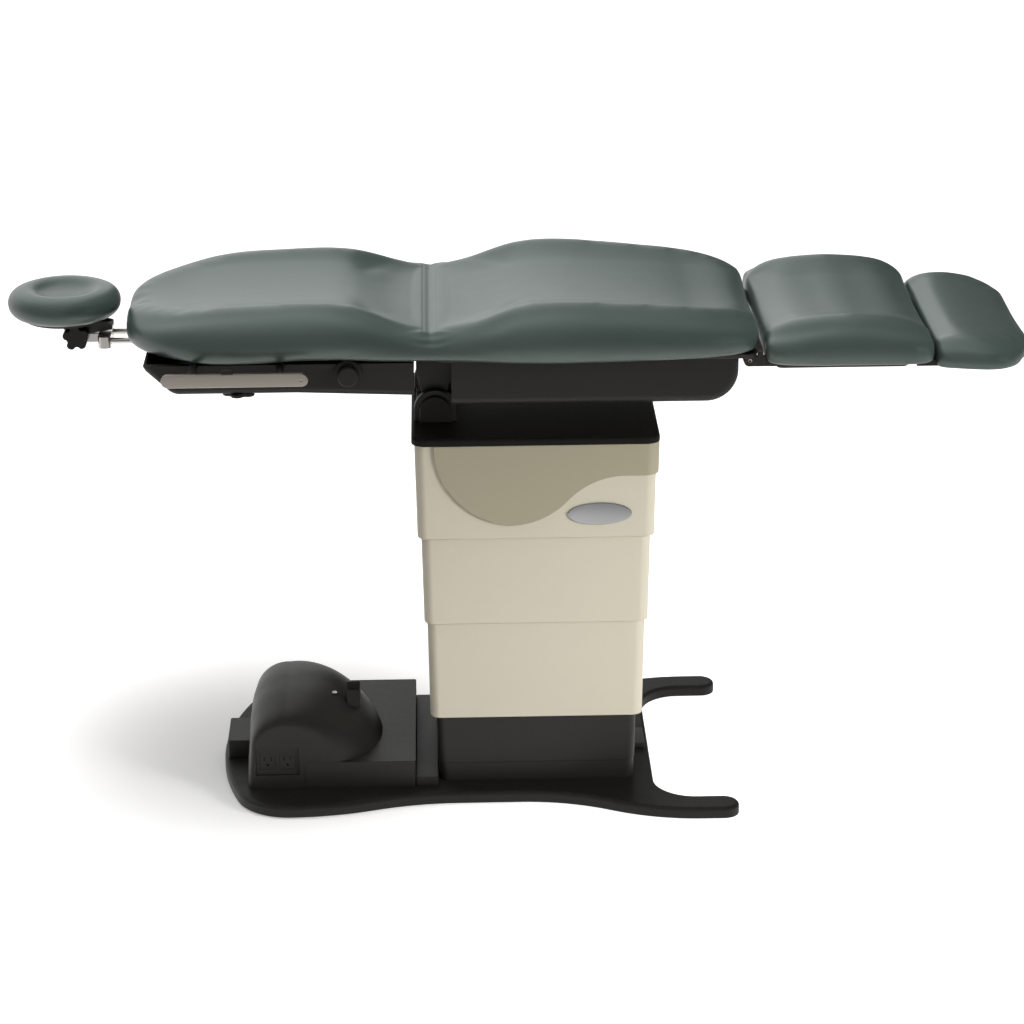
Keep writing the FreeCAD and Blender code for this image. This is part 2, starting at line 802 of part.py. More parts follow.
def build_accent(top_block):
    """Raised panel round the top cover's foot end, with an S-shaped lower edge on both sides."""
    outer = tapered_block("accent_outside", "2 * (Sizes.top_half_length + Sizes.accent_thickness)",
                          "2 * (Sizes.top_half_width + Sizes.accent_thickness)", TOP_Z, CAP_Z,
                          "Sizes.cover_corner + Sizes.accent_thickness")
    top, middle = num(CAP_Z), size("column_x")
    start = middle - size("accent_start")
    low = top - size("accent_depth")
    collar = top - size("accent_collar")
    dip_x = start + 0.34 * (middle - start + size("top_half_length"))
    end_x = middle + 0.76 * size("top_half_length")
    far_x = middle + size("top_half_length") + 3 * size("accent_thickness") + 10
    sweep = s_bend((dip_x, low), (end_x, collar))
    shoulder = (start + 0.28 * (dip_x - start), low + 0.33 * (top - low))
    lines = [arc((start, top), shoulder, (dip_x, low)), *sweep,
             *chain([(end_x, collar), (far_x, collar), (far_x, top), (start, top)], closed=False)]
    body = new_body("accent_side")
    sketch = sketch_on(body, "accent_edge", "XZ_Plane", lines)
    pad(body, sketch, "3 * Sizes.top_half_width", symmetric=True)
    node(cut("accent_panel", common("accent_layer", outer, body), top_block), "accent_panel")


def build_badge(top_block):
    """Bare oval plate on the near face of the top cover."""
    body = new_body("badge_blank")
    x = num("Sizes.column_x + Sizes.badge_offset - Sizes.badge_thickness")
    z = num(f"{TOP_Z} + Sizes.badge_rise")
    long_half, short_half = size("badge_length") / 2, size("badge_height") / 2
    ellipse = Part.Ellipse(Vector(x, z, 0), long_half, short_half)
    sketch = sketch_on(body, "badge_outline", "XZ_Plane", [ellipse],
                       "Sizes.top_half_width - Sizes.badge_thickness")
    plate = pad(body, sketch, f"2 * Sizes.badge_thickness + Sizes.badge_rise * {DRAFT}")
    front = -num(f"Sizes.top_half_width + Sizes.badge_thickness + Sizes.badge_rise * {DRAFT}")
    fillet(body, plate, "Sizes.badge_thickness / 3", lambda edge: abs(edge.BoundBox.YMin - front) < 0.01
           and edge.BoundBox.YLength < 0.01)
    node(cut("badge_plate", body, top_block), "badge_plate")


def square_tube(name, width, low, length):
    """Mast tube about the column's axis, as its outside and the bore through it."""
    outside = box(name + "_outside", f"Sizes.column_x - {width} / 2", f"-{width} / 2", low, width, width,
                  length)
    bore = f"({width} - 2 * Sizes.mast_wall)"
    inside = box(name + "_inside", f"Sizes.column_x - {bore} / 2", f"-{bore} / 2", f"{low} - Sizes.cut_past",
                 bore, bore, f"{length} + 2 * Sizes.cut_past")
    return outside, inside


def build_lift():
    """Nested mast tubes, each with the flange that carries its cover, and the ram inside them."""
    step = "(Sizes.mast_wall + Sizes.mast_clearance)"
    outside, inside = square_tube("mast_base", "Sizes.mast_width", DECK, "Sizes.mast_height")
    foot = box("mast_foot", "Sizes.column_x - Sizes.mast_foot / 2", "-Sizes.mast_foot / 2", DECK,
               "Sizes.mast_foot", "Sizes.mast_foot", "2 * Sizes.flange_thickness")
    node(cut("mast_base", fuse("mast_base_body", outside, foot), inside), "mast_base")

    stages = [
        ("mast_stage_1", f"({MIDDLE_Z} + Sizes.lower_overlap - Sizes.stage_1_drop)", "Sizes.flange_thickness",
         "Sizes.lower_half_length", "Sizes.lower_half_width", LOWER_Z, "Sizes.stage_length"),
        ("mast_stage_2", f"({TOP_Z} + Sizes.middle_overlap)", "Sizes.flange_thickness",
         "Sizes.middle_half_length", "Sizes.middle_half_width", MIDDLE_Z,
         "(Sizes.stage_length + Sizes.stage_2_extra)"),
        ("mast_stage_3", f"({CAP_Z} - Sizes.carriage_drop)", "Sizes.carriage_plate",
         "Sizes.top_half_length", "Sizes.top_half_width", TOP_Z,
         "(Sizes.stage_length + Sizes.stage_3_extra)"),
    ]
    for count, (name, top, plate, half_length, half_width, low, length) in enumerate(stages, start=1):
        width = f"(Sizes.mast_width - {2 * count} * {step})"
        outside, inside = square_tube(name, width, f"{top} - {length}", length)
        level = f"({top} - {plate})"
        reach_x = f"({inner_half(half_length, low, level)} - Sizes.flange_clearance)"
        reach_y = f"({inner_half(half_width, low, level)} - Sizes.flange_clearance)"
        body = new_body(name + "_flange")
        plan = rectangle_on(body, name + "_plan", "Sizes.column_x", f"2 * {reach_x}", f"2 * {reach_y}", level)
        fillet(body, pad(body, plan, plate), "Sizes.cover_corner - Sizes.cover_wall", upright)
        joined = fuse(name + "_body", outside, body)
        node(cut(name, joined, inside), name)

    radius = "Sizes.ram_radius"
    node(ram_tube("lift_cylinder", radius, DECK, "Sizes.mast_height"), "lift_cylinder")
    for name, stage in zip(["ram_stage_1", "ram_stage_2"], stages):
        radius = f"({radius} - Sizes.ram_wall - Sizes.ram_clearance)"
        node(ram_tube(name, radius, f"({stage[1]} - {stage[6]})", stage[6]), name)
    radius = f"({radius} - Sizes.ram_wall - Sizes.ram_clearance)"
    _, top, plate, _, _, _, length = stages[-1]
    node(cylinder("ram_head", "Z", "Sizes.column_x", "0", f"{top} - {length}", radius, f"{length} - {plate}"),
         "ram_head")


def ram_tube(name, radius, low, length):
    """One open tube of the lift ram."""
    barrel = cylinder(name + "_wall", "Z", "Sizes.column_x", "0", low, radius, length)
    bore = cylinder(name + "_bore", "Z", "Sizes.column_x", "0", f"{low} - Sizes.cut_past",
                    f"{radius} - Sizes.ram_wall", f"{length} + 2 * Sizes.cut_past")
    return cut(name, barrel, bore)


def hump_sections(shrink):
    """Arched profiles of the pump cover across the chair, higher and longer in the middle."""
    near, far = shrink - size("pump_box_half"), size("hump_far_y") - shrink
    centre, half = (near + far) / 2, (far - near) / 2
    deck, crest_x = num(DECK), size("hump_crest_x")
    ledge = deck + size("pump_box_height")
    lean = size("hump_lean")
    sections = []
    for share in (-1.0, -0.95, -0.8, -0.5, 0.0, 0.5, 0.8, 0.95, 1.0):
        y = centre + share * half
        swell = math.sqrt(1 - share * share)
        drawn_in = shrink + (size("hump_edge") if abs(share) == 1 else 0.0)
        top = deck + size("hump_end_height") + size("hump_crown") * swell - drawn_in
        rear = size("hump_rear_x") - size("hump_rear_swell") * swell + drawn_in
        nose = size("hump_nose_x") - size("hump_nose_swell") * (1 - swell) - drawn_in
        knee = Vector(rear + lean, y, deck + 0.58 * (top - deck))
        crest, foot = Vector(crest_x, y, top), Vector(nose, y, ledge - drawn_in)
        turn = math.sqrt(0.5)
        rear_bend = Vector(crest.x - turn * (crest.x - knee.x), y, knee.z + turn * (crest.z - knee.z))
        nose_bend = Vector(crest.x + turn * (foot.x - crest.x), y, foot.z + turn * (crest.z - foot.z))
        edges = [
            Part.LineSegment(Vector(rear, y, deck), knee),
            Part.Arc(knee, rear_bend, crest),
            Part.Arc(crest, nose_bend, foot),
            Part.LineSegment(foot, Vector(nose + lean, y, deck)),
            Part.LineSegment(Vector(nose + lean, y, deck), Vector(rear, y, deck)),
        ]
        sections.append(Part.Wire([edge.toShape() for edge in edges]))
    return sections


def surface_height(form, x, y):
    """Top of a solid above one point of the floor."""
    line = Part.makeLine(Vector(x, y, 0), Vector(x, y, num(BOARD_Z)))
    return form.common(line).BoundBox.ZMax


def build_pump():
    """Pump box, the domed pump cover on it, outlets, hook, lamp, motor, rear block and inlet."""
    box_x, box_end = "Sizes.pump_box_rear_x", "Sizes.pump_box_front_x"
    body = new_body("pump_box_body")
    span = f"({box_end} - {box_x})"
    plan = rectangle_on(body, "pump_box_plan", f"({box_x} + {box_end}) / 2", span,
                        "2 * Sizes.pump_box_half", DECK)
    block = pad(body, plan, "Sizes.pump_box_height")
    fillet(body, block, "Sizes.pump_box_corner", lambda edge: upright(edge)
           and edge.BoundBox.XMax > num(box_end) - size("cut_past"))
    room = box("pump_box_room", f"{box_x} + Sizes.pump_box_wall",
               "-Sizes.pump_box_half + Sizes.pump_box_wall",
               DECK, f"{span} - 2 * Sizes.pump_box_wall", "2 * (Sizes.pump_box_half - Sizes.pump_box_wall)",
               "Sizes.pump_box_height - Sizes.pump_box_wall")
    node(cut("pump_box", body, room), "pump_box")

    dome = solid("hump_outside", Part.makeLoft(hump_sections(0.0), True, False))
    hollow = solid("hump_inside", Part.makeLoft(hump_sections(size("hump_wall")), True, False))
    seat = box("hump_seat", box_x, "-2 * Sizes.pump_box_half", f"{DECK} - Sizes.cut_past", f"2 * {span}",
               "4 * Sizes.pump_box_half", "Sizes.pump_box_height + Sizes.cut_past")
    panel_x = "(Sizes.outlet_panel_x - Sizes.outlet_panel_length / 2)"
    panel_y = "(-Sizes.pump_box_half + Sizes.outlet_panel_sink)"
    panel_z = f"({DECK} + Sizes.outlet_panel_rise)"
    recess = box("outlet_recess", panel_x, "-2 * Sizes.pump_box_half", panel_z, "Sizes.outlet_panel_length",
                 f"2 * Sizes.pump_box_half + {panel_y} + Sizes.outlet_panel_thickness + Sizes.hump_wall",
                 "Sizes.outlet_panel_height")
    lamp_top = surface_height(dome.Shape, size("lamp_x"), size("lamp_y")) + size("lamp_proud")
    lamp_z = lamp_top - size("lamp_length")
    lamp_hole = cylinder("lamp_hole", "Z", "Sizes.lamp_x", "Sizes.lamp_y", f"{lamp_z} - Sizes.lamp_length",
                         "Sizes.lamp_radius", "4 * Sizes.lamp_length")
    node(cut("pump_cover", dome, hollow, seat, recess, lamp_hole), "pump_cover")
    lamp = cylinder("lamp_lens", "Z", "Sizes.lamp_x", "Sizes.lamp_y", str(lamp_z), "Sizes.lamp_radius",
                    "Sizes.lamp_length")
    node(lamp, "indicator_lamp")
    doc.recompute()

    build_outlets(panel_x, panel_y, panel_z)
    build_hook(dome)
    motor_x = "(Sizes.hump_rear_x + Sizes.motor_inset)"
    motor = cylinder("motor_can", "Y", motor_x, "-Sizes.motor_length / 2",
                     f"{DECK} + Sizes.motor_radius + Sizes.motor_rise", "Sizes.motor_radius",
                     "Sizes.motor_length")
    cradle = box("motor_cradle", f"{motor_x} - Sizes.motor_radius", "-Sizes.motor_length / 3", DECK,
                 "2 * Sizes.motor_radius", "2 * Sizes.motor_length / 3",
                 "Sizes.motor_radius / 2 + Sizes.motor_rise")
    node(fuse("pump_motor", motor, cradle), "pump_motor")
    build_rear_block(dome)


def build_outlets(panel_x, panel_y, panel_z):
    """Outlet panel set into the pump cover's near end, and the two outlet faces in its windows."""
    panel = box("outlet_plate", panel_x, panel_y, panel_z, "Sizes.outlet_panel_length",
                "Sizes.outlet_panel_thickness", "Sizes.outlet_panel_height")
    face_z = f"({panel_z} + (Sizes.outlet_panel_height - Sizes.outlet_face_height) / 2)"
    windows, faces = [], []
    for side, shift in {"left": "-", "right": "+"}.items():
        middle = f"(Sizes.outlet_panel_x {shift} Sizes.outlet_spacing / 2)"
        face_x = f"({middle} - Sizes.outlet_face_width / 2)"
        windows.append(box("window_" + side, face_x, f"{panel_y} - Sizes.cut_past", face_z,
                           "Sizes.outlet_face_width", "Sizes.outlet_panel_thickness + 2 * Sizes.cut_past",
                           "Sizes.outlet_face_height"))
        face = box("face_" + side, face_x, f"{panel_y} + Sizes.outlet_face_sink", face_z,
                   "Sizes.outlet_face_width", "Sizes.outlet_face_thickness", "Sizes.outlet_face_height")
        contact = "Sizes.contact_depth + Sizes.outlet_face_sink"
        slots = [cylinder(f"earth_{side}", "Y", middle, panel_y, f"{face_z} + Sizes.earth_rise",
                          "Sizes.earth_radius", contact)]
        for tag, way in {"a": "-", "b": "+"}.items():
            slots.append(box(f"slot_{side}_{tag}",
                             f"{middle} {way} Sizes.blade_spacing / 2 - Sizes.blade_width / 2",
                             panel_y, f"{face_z} + Sizes.blade_rise", "Sizes.blade_width", contact,
                             "Sizes.blade_height"))
        faces.append(cut("outlet_face_" + side, face, *slots))
    node(cut("outlet_panel", panel, *windows), "outlet_panel")
    node(group("outlet_faces", *faces), "outlet_faces")


def build_rear_block(dome):
    """Block behind the pump cover and the mains inlet in it."""
    rear_x = "(Sizes.base_rear_x + Sizes.rear_block_inset)"
    rear = new_body("rear_block_body")
    plan = rectangle_on(rear, "rear_block_plan", f"{rear_x} + Sizes.rear_block_length / 2",
                        "Sizes.rear_block_length", "2 * Sizes.rear_block_half", DECK)
    block = pad(rear, plan, "Sizes.rear_block_height")
    fillet(rear, block, "Sizes.rear_block_round", lambda edge: upright(edge)
           and edge.BoundBox.XMax < num(rear_x) + size("cut_past"))
    inlet_z = f"({DECK} + Sizes.inlet_rise)"
    socket = box("inlet_socket", f"{rear_x} - Sizes.cut_past", "-Sizes.inlet_width / 2", inlet_z,
                 "Sizes.inlet_depth + Sizes.cut_past", "Sizes.inlet_width", "Sizes.inlet_height")
    node(cut("rear_block", rear, socket, dome), "rear_block")
    insert = box("inlet_insert", rear_x, "-Sizes.inlet_width / 2", inlet_z, "Sizes.inlet_depth",
                 "Sizes.inlet_width", "Sizes.inlet_height")
    well = box("inlet_well", f"{rear_x} - Sizes.cut_past", "-Sizes.inlet_width / 2 + Sizes.inlet_wall",
               f"{inlet_z} + Sizes.inlet_wall", "Sizes.inlet_depth + Sizes.cut_past - Sizes.inlet_wall",
               "Sizes.inlet_width - 2 * Sizes.inlet_wall", "Sizes.inlet_height - 2 * Sizes.inlet_wall")
    node(cut("power_inlet", insert, well), "power_inlet")


def build_hook(dome):
    """Open hook for the hand control, standing on the pump cover's near slope."""
    x, y = size("hook_x"), size("hook_y")
    ground = surface_height(dome.Shape, x, y)
    thick, gap = size("hook_thickness"), size("hook_gap")
    tip, back = size("hook_tip"), size("hook_back")
    points = [(0, -thick), (gap + 2 * thick, -thick), (gap + 2 * thick, tip), (gap + thick, tip),
              (gap + thick, 0), (thick, 0), (thick, back), (0, back)]
    body = new_body("hook_blank")
    sketch = sketch_on(body, "hook_profile", "YZ_Plane", chain([(-a, b) for a, b in points]))
    pad(body, sketch, "Sizes.hook_width", symmetric=True)
    body.Placement = Placement(Vector(x, y + gap / 2, ground + thick - size("hook_sink")),
                               Rotation(Vector(1, 0, 0), -size("hook_tilt")))
    node(cut("control_hook", body, dome), "control_hook")


def arch(name, radius, inner, thickness, low):
    """Upright plate with a round head about the tilt axis, on one side of the chair."""
    x, z, floor, reach = size("tilt_x"), num(TILT_Z), num(low), num(radius)
    lines = [arc((x + reach, z), (x, z + reach), (x - reach, z)),
             *chain([(x - reach, z), (x - reach, floor), (x + reach, floor), (x + reach, z)], closed=False)]
    body = new_body(name)
    sketch = sketch_on(body, name + "_outline", "XZ_Plane", lines, inner)
    pad(body, sketch, thickness)
    return body


def build_stanchions():
    """Tilt stanchions with their foot plate and drive post, arched covers and tilt pins."""
    inner = "Sizes.stanchion_inner"
    plate = arch("stanchion_plate", "Sizes.stanchion_radius", inner, "Sizes.stanchion_thickness", CAP_TOP)
    hole = cylinder("stanchion_hole", "Y", "Sizes.tilt_x", "-2 * Sizes.stanchion_inner", TILT_Z,
                    "Sizes.tilt_pin_radius", "4 * Sizes.stanchion_inner")
    outer = f"({inner} + Sizes.stanchion_thickness)"
    tie = box("stanchion_tie", "Sizes.tilt_x - Sizes.tie_inset", f"-{outer}", CAP_TOP, "Sizes.tie_width",
              f"2 * {outer}", "Sizes.tie_height")
    swing = "Sizes.tilt_swing * 1 deg"
    pin_x = f"(Sizes.tilt_x - Sizes.tilt_lever * sin({swing}))"
    pin_z = f"({TILT_Z} + Sizes.tilt_lever * cos({swing}))"
    lever_y = "(Sizes.tilt_drive_y - Sizes.lever_thickness / 2)"
    post = box("tilt_post", f"{pin_x} - Sizes.post_back", lever_y, CAP_TOP, "Sizes.post_width",
               "Sizes.lever_thickness", f"{pin_z} + Sizes.lever_eye - {CAP_TOP}")
    pin = cylinder("tilt_drive_pin", "Y", pin_x, f"{lever_y} + Sizes.lever_thickness - {DRIVE_PIN}", pin_z,
                   "Sizes.drive_pin_radius", DRIVE_PIN)
    frame = fuse("stanchion_frame", plate, mirrored("stanchion_twin", plate), tie, post, pin)
    node(cut("tilt_stanchions", frame, hole), "tilt_stanchions")

    cover = arch("stanchion_cover", "Sizes.stanchion_cover_radius", outer, "Sizes.stanchion_cover_thickness",
                 CAP_TOP)
    front = -num(f"{outer} + Sizes.stanchion_cover_thickness")
    fillet(cover, cover.Tip, "Sizes.stanchion_cover_round", lambda edge: edge.BoundBox.YMax < front + 0.01)
    node(pair("stanchion_covers", cover), "stanchion_covers")

    pin_start = f"({inner} - Sizes.side_gap - Sizes.lug_thickness)"
    tilt_pin = cylinder("tilt_pin", "Y", "Sizes.tilt_x", pin_start, TILT_Z, "Sizes.tilt_pin_radius",
                        f"{outer} - {pin_start}")
    node(pair("tilt_pins", tilt_pin), "tilt_pins")


def plate_xz(name, lines, near, thickness):
    """Plate in an upright plane; near is the distance of its inner face on the near side."""
    body = new_body(name)
    sketch = sketch_on(body, name + "_outline", "XZ_Plane", lines, near)
    pad(body, sketch, thickness)
    return body


def eye_plate(name, centre, radius, left, right, floor, near, thickness):
    """Plate that widens from a round eye above to a foot between two X places below."""
    x, z = centre
    lines = [arc((x + radius, z), (x, z + radius), (x - radius, z)),
             *chain([(x - radius, z), (left, floor), (right, floor), (x + radius, z)], closed=False)]
    return plate_xz(name, lines, near, thickness)


def build_seat():
    """Seat frame, pan and recline pins."""
    board = new_body("seat_board")
    start = "(Sizes.crease_x + Sizes.board_gap)"
    finish = f"({FOOT_X} + Sizes.foot_eye)"
    plan = rectangle_on(board, "seat_board_plan", f"({start} + {finish}) / 2", f"({finish} - {start})",
                        "2 * Sizes.board_half", BOARD_Z)
    fillet(board, pad(board, plan, "Sizes.board_thickness"), "Sizes.board_corner", upright)

    inner = "(Sizes.stanchion_inner - Sizes.side_gap - Sizes.lug_thickness)"
    x, z, eye = size("tilt_x"), num(TILT_Z), size("lug_radius")
    top, left, right = num(BOARD_Z), num(start), num(f"{PAN_REAR_X} - Sizes.pan_wall")
    rear, front = num(f"{HOUSING_X} + Sizes.lug_rear_gap"), right + size("lug_toe")
    ledge, floor = top - size("lug_top_gap"), num(f"{PAN_Z} + Sizes.pan_wall + Sizes.lug_floor_gap")
    lug_lines = [arc((x + eye, z), (x, z - eye), (x - eye, z)),
                 *chain([(x - eye, z), (rear, z + size("lug_shoulder")), (rear, ledge), (left, ledge),
                         (left, top), (front, top), (front, floor), (right, floor), (x + eye, z)],
                        closed=False)]
    lug = plate_xz("tilt_lug", lug_lines, inner, "Sizes.lug_thickness")
    lug_bore = cylinder("lug_bore", "Y", "Sizes.tilt_x", "-2 * Sizes.board_half", TILT_Z,
                        "Sizes.tilt_pin_radius + Sizes.pin_clearance", "4 * Sizes.board_half")
    rib = box("seat_rib", f"{PAN_REAR_X} + Sizes.rib_start", f"-{inner} - Sizes.lug_thickness",
              f"{BOARD_Z} - Sizes.rib_depth",
              f"{PAN_FRONT_X} - {PAN_REAR_X} - Sizes.rib_start - Sizes.rib_end",
              "Sizes.lug_thickness", "Sizes.rib_depth")

    crease = (size("crease_x"), num(CREASE_Z))
    plate = eye_plate("seat_hinge_plate", crease, size("hinge_eye"), crease[0] + size("hinge_foot_near"),
                      crease[0] + size("hinge_foot_far"), num(PAD_Z), "Sizes.hinge_plate_y",
                      "Sizes.hinge_plate")
    plate_bore = cylinder("seat_hinge_bore", "Y", "Sizes.crease_x", "-2 * Sizes.board_half", CREASE_Z,
                          "Sizes.recline_pin_radius", "4 * Sizes.board_half")

    foot_x, foot_z, ear_eye = num(FOOT_X), num(FOOT_Z), size("foot_eye")
    ear_lines = [arc((foot_x + ear_eye, foot_z), (foot_x, foot_z - ear_eye), (foot_x - ear_eye, foot_z)),
                 *chain([(foot_x - ear_eye, foot_z), (foot_x - ear_eye, top), (foot_x + ear_eye, top),
                         (foot_x + ear_eye, foot_z)], closed=False)]
    ear = plate_xz("foot_ear", ear_lines, "Sizes.foot_ear_y", "Sizes.foot_ear_thickness")
    ear_bore = cylinder("foot_ear_bore", "Y", FOOT_X, "-2 * Sizes.board_half", FOOT_Z,
                        "Sizes.foot_pin_radius + Sizes.pin_clearance", "4 * Sizes.board_half")
    sides = []
    for piece in (lug, rib, plate, ear):
        sides += [piece, mirrored(piece.Name + "_twin", piece)]
    frame = fuse("seat_frame_body", board, *sides)
    node(cut("seat_frame", frame, lug_bore, plate_bore, ear_bore), "seat_frame")

    pin = cylinder("recline_pin", "Y", "Sizes.crease_x", "Sizes.hinge_plate_y", CREASE_Z,
                   "Sizes.recline_pin_radius", "2 * Sizes.hinge_plate + Sizes.side_gap")
    node(pair("recline_pins", pin), "recline_pins")
    build_pan()


def pan_lines(inset, past):
    """Side view of the seat pan, drawn in by a wall and run past its open ends."""
    rear, front = num(PAN_REAR_X) - past, num(PAN_FRONT_X) - inset
    low, top = num(PAN_Z) + inset, num(BOARD_Z) + past
    corner = size("pan_corner") - inset
    bend = corner * (1 - math.sqrt(0.5))
    return [*chain([(front - corner, low), (rear, low), (rear, top), (front, top), (front, low + corner)],
                   closed=False),
            arc((front, low + corner), (front - bend, low + bend), (front - corner, low))]


def build_pan():
    """Tub under the seat, open at its rear end and top, with a round front lower corner."""
    rear, top = num(PAN_REAR_X), num(BOARD_Z)

    def side_edge(half):
        """Test for the lower edges of one of the tub's flanks."""
        def picked(edge):
            span = edge.BoundBox
            flank = abs(abs(span.Center.y) - half) < 0.1 and span.YLength < 0.1
            return flank and span.XMax > rear + 1 and span.ZMin < top - 1
        return picked

    body = new_body("pan_body")
    outer = pad(body, sketch_on(body, "pan_profile", "XZ_Plane", pan_lines(0.0, 0.0)), "2 * Sizes.pan_half",
                symmetric=True)
    fillet(body, outer, "Sizes.pan_edge", side_edge(size("pan_half")))
    hollow = new_body("pan_hollow")
    room_lines = pan_lines(size("pan_wall"), size("cut_past"))
    room = pad(hollow, sketch_on(hollow, "pan_room", "XZ_Plane", room_lines),
               "2 * (Sizes.pan_half - Sizes.pan_wall)", symmetric=True)
    fillet(hollow, room, "Sizes.pan_edge - Sizes.pan_wall", side_edge(size("pan_half") - size("pan_wall")))
    slot = box("foot_rod_slot", f"{PAN_FRONT_X} - 2 * Sizes.pan_corner",
               "Sizes.foot_drive_y - Sizes.lever_thickness / 2 - Sizes.slot_side",
               f"{FOOT_Z} - Sizes.foot_lever - {HEAD_REACH} - Sizes.slot_room", "3 * Sizes.pan_corner",
               f"{DRIVE_PIN} + 2 * Sizes.slot_side",
               f"Sizes.foot_lever + {HEAD_REACH} + Sizes.slot_room - Sizes.foot_eye / 2")
    node(cut("seat_pan", body, hollow, slot), "seat_pan")


def pad_section(x, base_z, base_half, rim_half, rim_rise, dish):
    """Cross-section of a cushion: flat underside, bulging sides, round rims and a dished top."""
    scale = min(1.0, rim_rise / 60.0)
    belly = base_half + size("pad_belly") * scale
    belly_z = base_z + size("pad_belly_rise") * scale
    rim_z = base_z + rim_rise
    curl = size("pad_rim_round") * scale
    shoulder = (rim_half + curl, rim_z - 0.55 * curl)
    crown = (rim_half + 0.25 * curl, rim_z)
    inner = (rim_half - curl, rim_z - 0.18 * dish - 0.3)

    def at(y, z):
        return Vector(x, y, z)

    edges = [
        Part.LineSegment(at(-base_half, base_z), at(base_half, base_z)),
        Part.Arc(at(base_half, base_z), at(belly, belly_z), at(*shoulder)),
        Part.Arc(at(*shoulder), at(*crown), at(*inner)),
        Part.Arc(at(*inner), at(0, rim_z - dish - 0.6), at(-inner[0], inner[1])),
        Part.Arc(at(-inner[0], inner[1]), at(-crown[0], crown[1]), at(-shoulder[0], shoulder[1])),
        Part.Arc(at(-shoulder[0], shoulder[1]), at(-belly, belly_z), at(-base_half, base_z)),
    ]
    return Part.Wire([edge.toShape() for edge in edges])


def ease(share):
    """Smooth step from 0 to 1."""
    share = min(1.0, max(0.0, share))
    return (1 - math.cos(math.pi * share)) / 2


def blend(first, second, share):
    """Value between two, by a share."""
    return first + (second - first) * share


def end_round(left, reach, power=3.0):
    """Width share of a cushion near its rounded end, from the length that is left."""
    if left >= reach:
        return 1.0
    return math.sqrt(1 - (1 - left / reach) ** power)


def seat_section(run):
    """Seat pad's cross-section at a distance from the crease."""
    length, crest_at = size("seat_length"), size("seat_crest_at")
    crease_rise = size("crease_axis_rise") + size("crease_fall")
    to_crest = ease(run / crest_at)
    past = max(0.0, (run - crest_at) / (length - crest_at))
    rise = blend(crease_rise, size("seat_crest"), to_crest) - size("seat_end_fall") * past ** 2
    rim = blend(size("crease_rim_half"), size("seat_rim_half"), to_crest) * (1 - 0.15 * past ** 2)
    base = blend(size("crease_base_half"), size("seat_base_half"), to_crest) * (1 - 0.14 * past ** 2)
    narrow = end_round(length - run, size("seat_end_round"), 2.2)
    low = 1 - 0.30 * (1 - narrow)
    x = size("crease_x") + run
    return pad_section(x, num(PAD_Z), base * (1 - 0.22 * (1 - narrow)), rim * (1 - 0.35 * (1 - narrow)),
                       rise * low,
                       size("pad_dish") * to_crest * narrow)


def back_section(run):
    """Back pad's cross-section at a distance from the crease towards the head."""
    length, crest_at = size("back_length"), size("back_crest_at")
    crease_rise = size("crease_axis_rise") + size("crease_fall")
    to_crest = ease(run / crest_at)
    plateau = crest_at + size("back_plateau")
    past = max(0.0, (run - plateau) / (length - plateau))
    rise = blend(crease_rise, size("back_crest"), to_crest) - size("back_end_fall") * past ** 2
    narrow = end_round(length - run, size("back_end_round"), 3.2)
    rim = blend(size("crease_rim_half"), size("back_rim_half"), to_crest) * narrow
    base = blend(size("crease_base_half"), size("back_base_half"), to_crest) * blend(narrow, 1.0, 0.15)
    x = size("crease_x") - run
    return pad_section(x, num(PAD_Z), base, rim, rise * blend(narrow, 1.0, 0.8),
                       size("pad_dish") * to_crest * narrow)


def crease_wedge(way):
    """Wedge cut away above the crease axis, so that the pads don't meet when the back rises."""
    x, z = size("crease_x"), num(CREASE_Z)
    rise = 3 * size("crease_fall")
    reach = rise * math.tan(math.radians(size("crease_open")))
    gap = way * size("face_gap")
    half = 2 * size("seat_base_half")
    points = [Vector(x - way, -half, z - 4 * rise), Vector(x + gap, -half, z - 4 * rise),
              Vector(x + gap, -half, z), Vector(x + gap + way * reach, -half, z + rise),
              Vector(x - way, -half, z + rise)]
    face = Part.Face(Part.makePolygon(points + points[:1]))
    return face.extrude(Vector(0, 2 * half, 0))


def hinge_relief(way):
    """Room in a pad round the hinge plates and their pins."""
    x, z, floor = size("crease_x"), num(CREASE_Z), num(PAD_Z)
    relief = size("pad_relief")
    near = size("hinge_plate_y") - relief
    depth = 2 * size("hinge_plate") + size("side_gap") + 2 * relief
    eye = size("hinge_eye") + relief
    foot = x + way * (size("hinge_foot_far") + 2 * relief + size("side_gap"))
    shapes = []
    for start in (near, -near - depth):
        knuckle = Part.makeCylinder(eye, depth, Vector(x, start, z), Vector(0, 1, 0))
        points = [Vector(x, start, z + eye), Vector(x + way * eye, start, z + eye),
                  Vector(foot, start, floor), Vector(x, start, floor)]
        plate = Part.Face(Part.makePolygon(points + points[:1])).extrude(Vector(0, depth, 0))
        shapes += [knuckle, plate]
    return shapes


def build_pads():
    """Seat pad and back pad: lofts that meet at the crease."""
    seat_shares = [0.0, 0.1, 0.18, 0.26, 0.34, 0.53, 0.71, 0.855, 0.92, 0.96, 0.987, 1.0]
    seat = Part.makeLoft([seat_section(share * size("seat_length")) for share in seat_shares], True, False)
    back_shares = [0.0, 0.0785, 0.157, 0.2356, 0.3106, 0.4677, 0.628, 0.768, 0.8726, 0.9337, 0.9738, 0.9965]
    back = Part.makeLoft([back_section(share * size("back_length")) for share in back_shares], True, False)
    for name, form, way in (("seat_pad", seat, 1), ("back_pad", back, -1)):
        trimmed = form.cut(crease_wedge(way)).cut(hinge_relief(way))
        node(solid(name, trimmed.Solids[0]), name)


